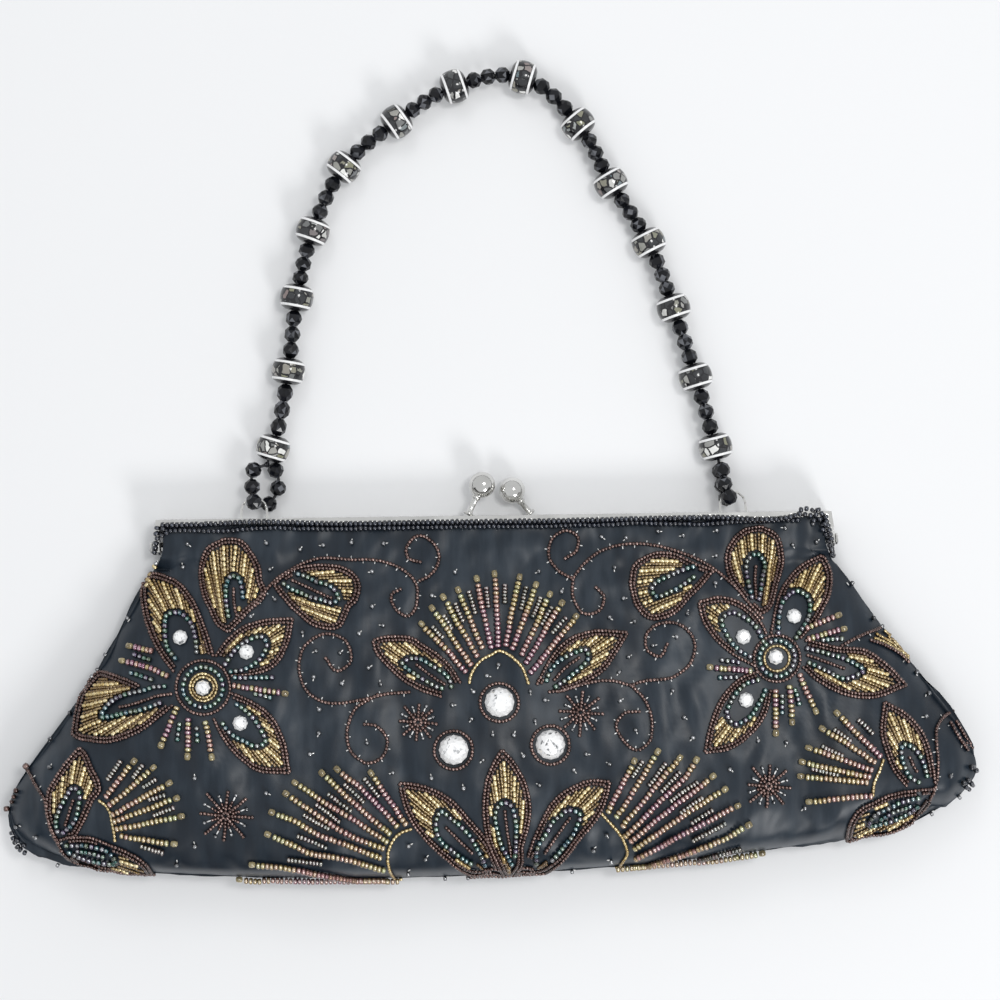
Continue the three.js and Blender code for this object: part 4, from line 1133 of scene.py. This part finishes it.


# All beads of a kind as one mesh, with a tint each, painted top light at each corner and a cell each of the
# map
def joinBeads(name, shape, beads, kind):
    facts = np.array(beads)
    count = len(facts)
    places, runs = facts[:, 0:3], facts[:, 3:6]
    wide, long, tints, spins = facts[:, 6], facts[:, 7], facts[:, 8], facts[:, 9]
    helper = np.where(np.abs(runs[:, 2:3]) < 0.9, [[0.0, 0.0, 1.0]], [[1.0, 0.0, 0.0]])
    first = np.cross(helper, runs)
    first /= np.linalg.norm(first, axis=1)[:, None]
    second = np.cross(runs, first)
    c, s = np.cos(spins)[:, None], np.sin(spins)[:, None]
    first, second = first * c + second * s, second * c - first * s
    local = np.array([corner.co for corner in shape.vertices])
    corners = np.array([k for face in shape.polygons for k in face.vertices])
    sizes = np.array([len(face.vertices) for face in shape.polygons])
    points = places[:, None] + (
        local[None, :, 0:1] * first[:, None] * wide[:, None, None]
        + local[None, :, 1:2] * second[:, None] * wide[:, None, None]
        + local[None, :, 2:3] * runs[:, None] * long[:, None, None])
    mesh = bpy.data.meshes.new(name)
    mesh.vertices.add(count * len(local))
    mesh.vertices.foreach_set("co", points.astype(np.float32).ravel())
    mesh.loops.add(count * len(corners))
    loops = corners[None] + np.arange(count)[:, None] * len(local)
    mesh.loops.foreach_set("vertex_index", loops.astype(np.int32).ravel())
    mesh.polygons.add(count * len(sizes))
    starts = np.concatenate([[0], np.cumsum(sizes)[:-1]])[None] + np.arange(count)[:, None] * len(corners)
    mesh.polygons.foreach_set("loop_start", starts.astype(np.int32).ravel())
    mesh.update(calc_edges=True)
    mesh.validate()
    tint = mesh.attributes.new("tint", "FLOAT", "POINT")
    tint.data.foreach_set("value", np.repeat(tints, len(local)).astype(np.float32))
    # painted light: a corner that faces up gets the most, the sides of a bead less, and its ends less by the
    # kind's ends
    ways = local[:, :2] / np.linalg.norm(local[:, :2], axis=1)[:, None]
    lit = ways[None, :, 0] * first[:, None, 2] + ways[None, :, 1] * second[:, None, 2]
    core = mesh.attributes.new("core", "FLOAT", "POINT")
    bright = np.clip(lit, 0, 1) * (1 - beadKinds[kind]["ends"] * (2 * local[None, :, 2]) ** 2)
    core.data.foreach_set("value", bright.astype(np.float32).ravel())
    side = math.ceil(math.sqrt(count))
    cells = np.stack([np.arange(count) % side, np.arange(count) // side], axis=1)
    spread = (cells[:, None] + beadMap(shape)[None]) / side
    bakeMap = mesh.uv_layers.new(name="OFBake")
    bakeMap.uv.foreach_set("vector", spread.astype(np.float32).ravel())
    mesh.shade_smooth()
    return addPiece(name, mesh, kind)


beadShape = seedBead(7)
mostBeads = 2800      # in one piece
beadPieces = {
    "bronze": "outline_beads", "gold": "gold_leaf_beads", "iris": "iris_beads", "fan": "fan_beads",
    "bar": "fan_short_beads", "clear": "champagne_beads", "silver": "single_beads", "stitch": "stitches",
    "black": "trim_beads",
}
for kind, name in beadPieces.items():
    beads = sorted(laid[kind])
    parts = math.ceil(len(beads) / mostBeads)
    for k, share in enumerate(np.array_split(np.array(beads), parts)):
        joinBeads(name if parts == 1 else f"{name}_{k + 1}", beadShape, share, kind)
    print(name, len(beads), "beads in", parts)


# Handle: inlaid beads

inlaid = {
    "sides": 36,
    "reach": 3.7 * mm,    # half the length, where the ends are cut
    # radius, place along the bead (mm) from its middle to its end
    "profile": [(4.85, 0.0), (4.82, 0.7), (4.70, 1.4), (4.50, 2.0), (4.54, 2.1), (4.16, 2.8), (4.04, 2.9),
                (3.52, 3.25), (2.8, 3.62), (2.4, 3.72), (1.3, 3.6)],
}


# Middle of a bead of revolution and the line through its bore
def beadAxis(node):
    points, values, ways = spreadOf(node)
    odd = int(np.argmax(np.abs(values - np.median(values))))
    return Vector(points.mean(0)), Vector(ways[:, odd])


inlaidNames = sorted(name for name in nodes if name.startswith("inlaid_bead_"))
inlaidPlaces = [beadAxis(name) for name in inlaidNames]
for k, (middle, axis) in enumerate(inlaidPlaces):
    ahead = inlaidPlaces[min(k + 1, len(inlaidPlaces) - 1)][0] - inlaidPlaces[max(k - 1, 0)][0]
    if axis.dot(ahead) < 0:
        axis.negate()


def inlaidBead(name, middle, axis):
    half = inlaid["profile"]
    profile = [(radius, -along) for radius, along in half[:0:-1]] + half
    bm = lathe([(radius * mm, along * mm) for radius, along in profile], inlaid["sides"], closed=True)
    bmesh.ops.remove_doubles(bm, verts=bm.verts, dist=0.001 * mm)
    share = bm.verts.layers.float.new("along")
    for corner in bm.verts:
        corner[share] = corner.co.z / inlaid["reach"]
    spun = Matrix.Rotation(rng.uniform(0, math.tau), 4, "Z")
    bmesh.ops.transform(bm, matrix=Matrix.Translation(middle) @ turnedAlong(axis) @ spun, verts=bm.verts)
    return addPiece(name + "_inlaid", meshFrom(bm, name, True), "inlay", [name])


for name, (middle, axis) in zip(inlaidNames, inlaidPlaces):
    inlaidBead(name, middle, axis)
print("inlaid beads,", len(inlaidNames))


# Handle: black glass beads on their thread, and the loops through the frame's eyes

stringing = {
    "between": 3,
    "fill": 0.985,         # of the room between two inlaid beads
    "clear": 3.8 * mm,     # from an inlaid bead's middle to its end
    "wide": 2.40 * mm,
    "long": 4.2 * mm,
    "thread": 0.42 * mm,
    "knot": 0.85 * mm,
    "facets": 7,
    "rings": [(0.46, -0.5, 0.5), (0.92, -0.24, 0.0), (1.0, 0.0, 0.5), (0.92, 0.24, 0.0), (0.46, 0.5, 0.5)],
    # places in mm
    "height": 4.9,
    "knots": [(-65.3, 66.5), (65.4, 64.8)],
    "loops": [
        [(-69.1, 65, 5.6), (-69.3, 60.1, 7.6), (-68.7, 55.8, 9.4), (-64.9, 55.1, 3.5), (-62.3, 59.7, 2.9),
         (-62.9, 64.9, 3.3)],
        [(65.9, 63.2, 7.0), (66.4, 59.2, 8.5), (67.6, 55.4, 9.3), (67.4, 55.1, 3.4), (66.3, 58.9, 2.5),
         (65.7, 62.9, 2.5)],
    ],
}


# A fire-polished bead: staggered rings under one hull, so that its faces are flat facets
def facetedBead(bm, middle, axis, long):
    corners = staggeredRings(bm, stringing["rings"], stringing["facets"], stringing["wide"], long)
    spun = Matrix.Rotation(rng.uniform(0, math.tau), 4, "Z")
    bmesh.ops.transform(bm, matrix=Matrix.Translation(middle) @ turnedAlong(axis) @ spun, verts=corners)
    bmesh.ops.convex_hull(bm, input=corners)


def betweenBeads(first, second):
    (start, startAxis), (end, endAxis) = first, second
    span = (end - start).length
    steps = [hermite(start, startAxis * span, end, endAxis * span, k / 60) for k in range(61)]
    along = np.concatenate([[0], np.cumsum([(b - a).length for a, b in zip(steps, steps[1:])])])
    return np.array(steps), along


beadString = bmesh.new()
threadLines = []
for first, second in zip(inlaidPlaces, inlaidPlaces[1:]):
    steps, along = betweenBeads(first, second)
    room = (along[-1] - 2 * stringing["clear"]) / stringing["between"]
    for k in range(stringing["between"]):
        at = stringing["clear"] + room * (k + 0.5)
        run = Vector(pointAlong(steps, along, at + mm) - pointAlong(steps, along, at - mm))
        place = Vector(pointAlong(steps, along, at))
        facetedBead(beadString, place, run.normalized(), room * stringing["fill"])
    threadLines.append([Vector(p) for p in steps[::6]])
for (x, y), loop, end in zip(stringing["knots"], stringing["loops"], (inlaidPlaces[0], inlaidPlaces[-1])):
    knot = Vector((x, y, stringing["height"])) * mm
    beads = [Vector(place) * mm for place in loop]
    around = [knot] + beads + [knot]
    for before, place, after in zip(around, beads, around[2:]):
        facetedBead(beadString, place, (after - before).normalized(), stringing["long"])
    threadLines.append([Vector(p) for p in smoothLine([tuple(p / mm) for p in around], 0.7) * mm])
    threadLines.append([knot, knot.lerp(end[0], 0.5), end[0]])
    made = bmesh.ops.create_icosphere(beadString, subdivisions=2, radius=stringing["knot"])["verts"]
    bmesh.ops.translate(beadString, vec=knot, verts=made)
glassMesh = meshFrom(beadString, "black_glass_beads", False)
facets = glassMesh.attributes.new("tint", "FLOAT", "FACE")
facets.data.foreach_set("value", rng.uniform(0, 1, len(glassMesh.polygons)).astype(np.float32))
addPiece("black_glass_beads", glassMesh, "jet", ["black_bead_string"])

threadCurve = bpy.data.curves.new("handle_thread", "CURVE")
threadCurve.dimensions = "3D"
threadCurve.bevel_depth = stringing["thread"]
threadCurve.bevel_resolution = 2
for line in threadLines:
    spline = threadCurve.splines.new("POLY")
    spline.points.add(len(line) - 1)
    for point, place in zip(spline.points, line):
        point.co = (*place, 1)
drawn = bpy.data.objects.new("handle_thread_line", threadCurve)
scene.collection.objects.link(drawn)
threadMesh = bpy.data.meshes.new_from_object(drawn.evaluated_get(bpy.context.evaluated_depsgraph_get()))
bpy.data.objects.remove(drawn)
threadMesh.shade_smooth()
addPiece("handle_thread", threadMesh, "thread")
print("handle strung")


# Kiss-lock knobs

knob = {
    "sides": 40,
    "ball": 3.8,
    "sunk": 0.96,      # where the stem meets the ball, by its radius
    "knobs": [
        ("clasp_knob_front", (-7.3, 51.3, 8.1), (-3.2, 59.8, 6.6)),
        ("clasp_knob_back", (10.7, 51.3, 2.7), (5.4, 58.2, 4.2)),
    ],
}


def clasp(node, foot, ball):
    foot, ball = Vector(foot) * mm, Vector(ball) * mm
    reach = (ball - foot).length / mm
    radius = knob["ball"]
    start = reach - radius * knob["sunk"]
    profile = [(0, 0), (1.5, 0), (1.5, 0.5), (1.35, 0.62), (0.95, 0.75), (0.85, 1.0), (0.85, start - 1.0),
               (1.15, start - 0.85), (1.28, start - 0.55), (1.28, start - 0.2), (1.1, start)]
    turns = np.linspace(math.acos(knob["sunk"]) * 1.02, math.pi, 18)
    profile += [(radius * math.sin(turn), reach - radius * math.cos(turn)) for turn in turns]
    profile[-1] = (0, reach + radius)
    bm = lathe([(across * mm, along * mm) for across, along in profile], knob["sides"])
    bmesh.ops.remove_doubles(bm, verts=bm.verts, dist=0.002 * mm)
    placed = Matrix.Translation(foot) @ turnedAlong((ball - foot).normalized())
    bmesh.ops.transform(bm, matrix=placed, verts=bm.verts)
    return addPiece(node + "_turned", meshFrom(bm, node, True), "nickel", [node])


for node, foot, ball in knob["knobs"]:
    clasp(node, foot, ball)

# the frame halves and rivets keep their CAD shapes, with softened edges
metal = {"weld": 0.005 * mm, "soften": 0.18 * mm, "segments": 2, "sharp": 40}      # sharp in degrees
for name in ("frame_front", "frame_back", "hinge_rivet_left", "hinge_rivet_right"):
    half = nodes[name]
    half.data.materials.clear()
    half.data.materials.append(finishes["nickel"])
    weld = half.modifiers.new("weld", "WELD")
    weld.merge_threshold = metal["weld"]
    soften = half.modifiers.new("soften", "BEVEL")
    soften.width = metal["soften"]
    soften.segments = metal["segments"]
    soften.limit_method = "ANGLE"
    soften.angle_limit = math.radians(metal["sharp"])
print("metal done")


# Rhinestones: staggered rings under one hull

stoneCut = {
    "large": 3 * mm, "largeSides": 12, "smallSides": 8,
    "rings": [(1.0, 0.0, 0.0), (1.0, 0.16, 0.0), (0.86, 0.52, 0.5), (0.68, 0.80, 0.0), (0.46, 1.0, 0.5)],
}


def cutStone(name):
    points, _, ways = spreadOf(name)
    axis = Vector(ways[:, 0])
    if axis.z < 0:
        axis.negate()
    heights = points @ np.array(axis)
    tall = heights.max() - heights.min()
    middle = Vector(points.mean(0))
    seat = middle + axis * (heights.min() - middle.dot(axis))
    away = points - np.array(seat)
    radius = np.linalg.norm(away - np.outer(away @ np.array(axis), axis), axis=1).max()
    sides = stoneCut["largeSides" if radius > stoneCut["large"] else "smallSides"]
    bm = bmesh.new()
    staggeredRings(bm, stoneCut["rings"], sides, radius, tall)
    bmesh.ops.convex_hull(bm, input=bm.verts)
    bmesh.ops.transform(bm, matrix=Matrix.Translation(seat) @ turnedAlong(axis), verts=bm.verts)
    mesh = meshFrom(bm, name, False)
    tint = mesh.attributes.new("tint", "FLOAT", "FACE")
    tint.data.foreach_set("value", rng.uniform(0, 1, len(mesh.polygons)).astype(np.float32))
    return addPiece(name + "_cut", mesh, "crystal", [name])


for name in stoneNames:
    cutStone(name)
print("stones,", len(stoneNames))


# Cloth sizes, floor, light

def outerArea(piece, facing):
    return sum(face.area for face in piece.data.polygons if face.normal.z * facing > 0.02)


print("cloth areas", outerArea(satinFront, 1), outerArea(satinBack, -1))

floorPaint = Paint("pale_floor")
floorTone = floorPaint.noise(floorPaint.place(), 3, 2)
floorFinish = floorPaint.finish({
    "Base Color": floorPaint.ramp(floorTone, [(0.3, (0.822, 0.827, 0.838)), (0.7, (0.836, 0.841, 0.852))]),
    "Roughness": 0.6 + floorTone * 0.05,
    "Specular IOR Level": 0.2,
})
bm = bmesh.new()
bmesh.ops.create_grid(bm, x_segments=2, y_segments=2, size=3)
floor = bpy.data.objects.new("floor", meshFrom(bm, "floor", False))
floor.data.materials.append(floorFinish)
scene.collection.objects.link(floor)

# a dark screen curves round the front of the table, for the metal to reflect
screen = {"away": 1.1, "turns": (-165, -15), "heights": (0.02, 0.52), "panels": 24}
screenPaint = Paint("dark_screen")
screenTone = screenPaint.noise(screenPaint.place(), 7, 3)
screenFinish = screenPaint.finish({
    "Base Color": screenPaint.ramp(screenTone, [
        (0.42, (0.012, 0.012, 0.013)), (0.52, (0.04, 0.038, 0.036)), (0.63, (0.30, 0.29, 0.27))]),
    "Roughness": 0.9,
})
bm = bmesh.new()
bmesh.ops.create_grid(bm, x_segments=screen["panels"], y_segments=1, size=0.5)
for corner in bm.verts:
    turn = math.radians(np.interp(corner.co.x, (-0.5, 0.5), screen["turns"]))
    height = np.interp(corner.co.y, (-0.5, 0.5), screen["heights"])
    corner.co = (screen["away"] * math.cos(turn), screen["away"] * math.sin(turn), height)
card = bpy.data.objects.new("screen", meshFrom(bm, "screen", True))
card.data.materials.append(screenFinish)
card.visible_camera = False
scene.collection.objects.link(card)

lights = {
    "world": (0.97, 0.985, 1.0),
    "worldStrength": 0.71,
    # place, side (m), power (W), colour, whether it is reflected; all aim at the middle
    "areas": [
        ((0.36, 0.28, 1.15), 0.24, 3.4, (1.0, 0.995, 0.98), True),
        ((0.53, -0.85, 0.75), 0.34, 5.6, (1.0, 1.0, 1.0), True),
        ((-0.25, 0.85, 0.95), 0.35, 1.3, (0.98, 0.99, 1.0), False),
    ],
}
world = bpy.data.worlds.new("studio")
world.use_nodes = True
sky = world.node_tree.nodes["Background"]
sky.inputs["Color"].default_value = (*lights["world"], 1)
sky.inputs["Strength"].default_value = lights["worldStrength"]
scene.world = world
for k, (place, side, power, colour, reflected) in enumerate(lights["areas"]):
    lamp = bpy.data.lights.new(f"softbox_{k}", "AREA")
    lamp.size = side
    lamp.energy = power
    lamp.color = colour
    holder = bpy.data.objects.new(f"softbox_{k}", lamp)
    holder.location = place
    holder.rotation_euler = (-Vector(place)).to_track_quat("-Z", "Y").to_euler()
    holder.visible_camera = False
    holder.visible_glossy = reflected
    scene.collection.objects.link(holder)
scene.view_settings.view_transform = "Standard"
print("floor and lights")

bpy.context.view_layer.update()
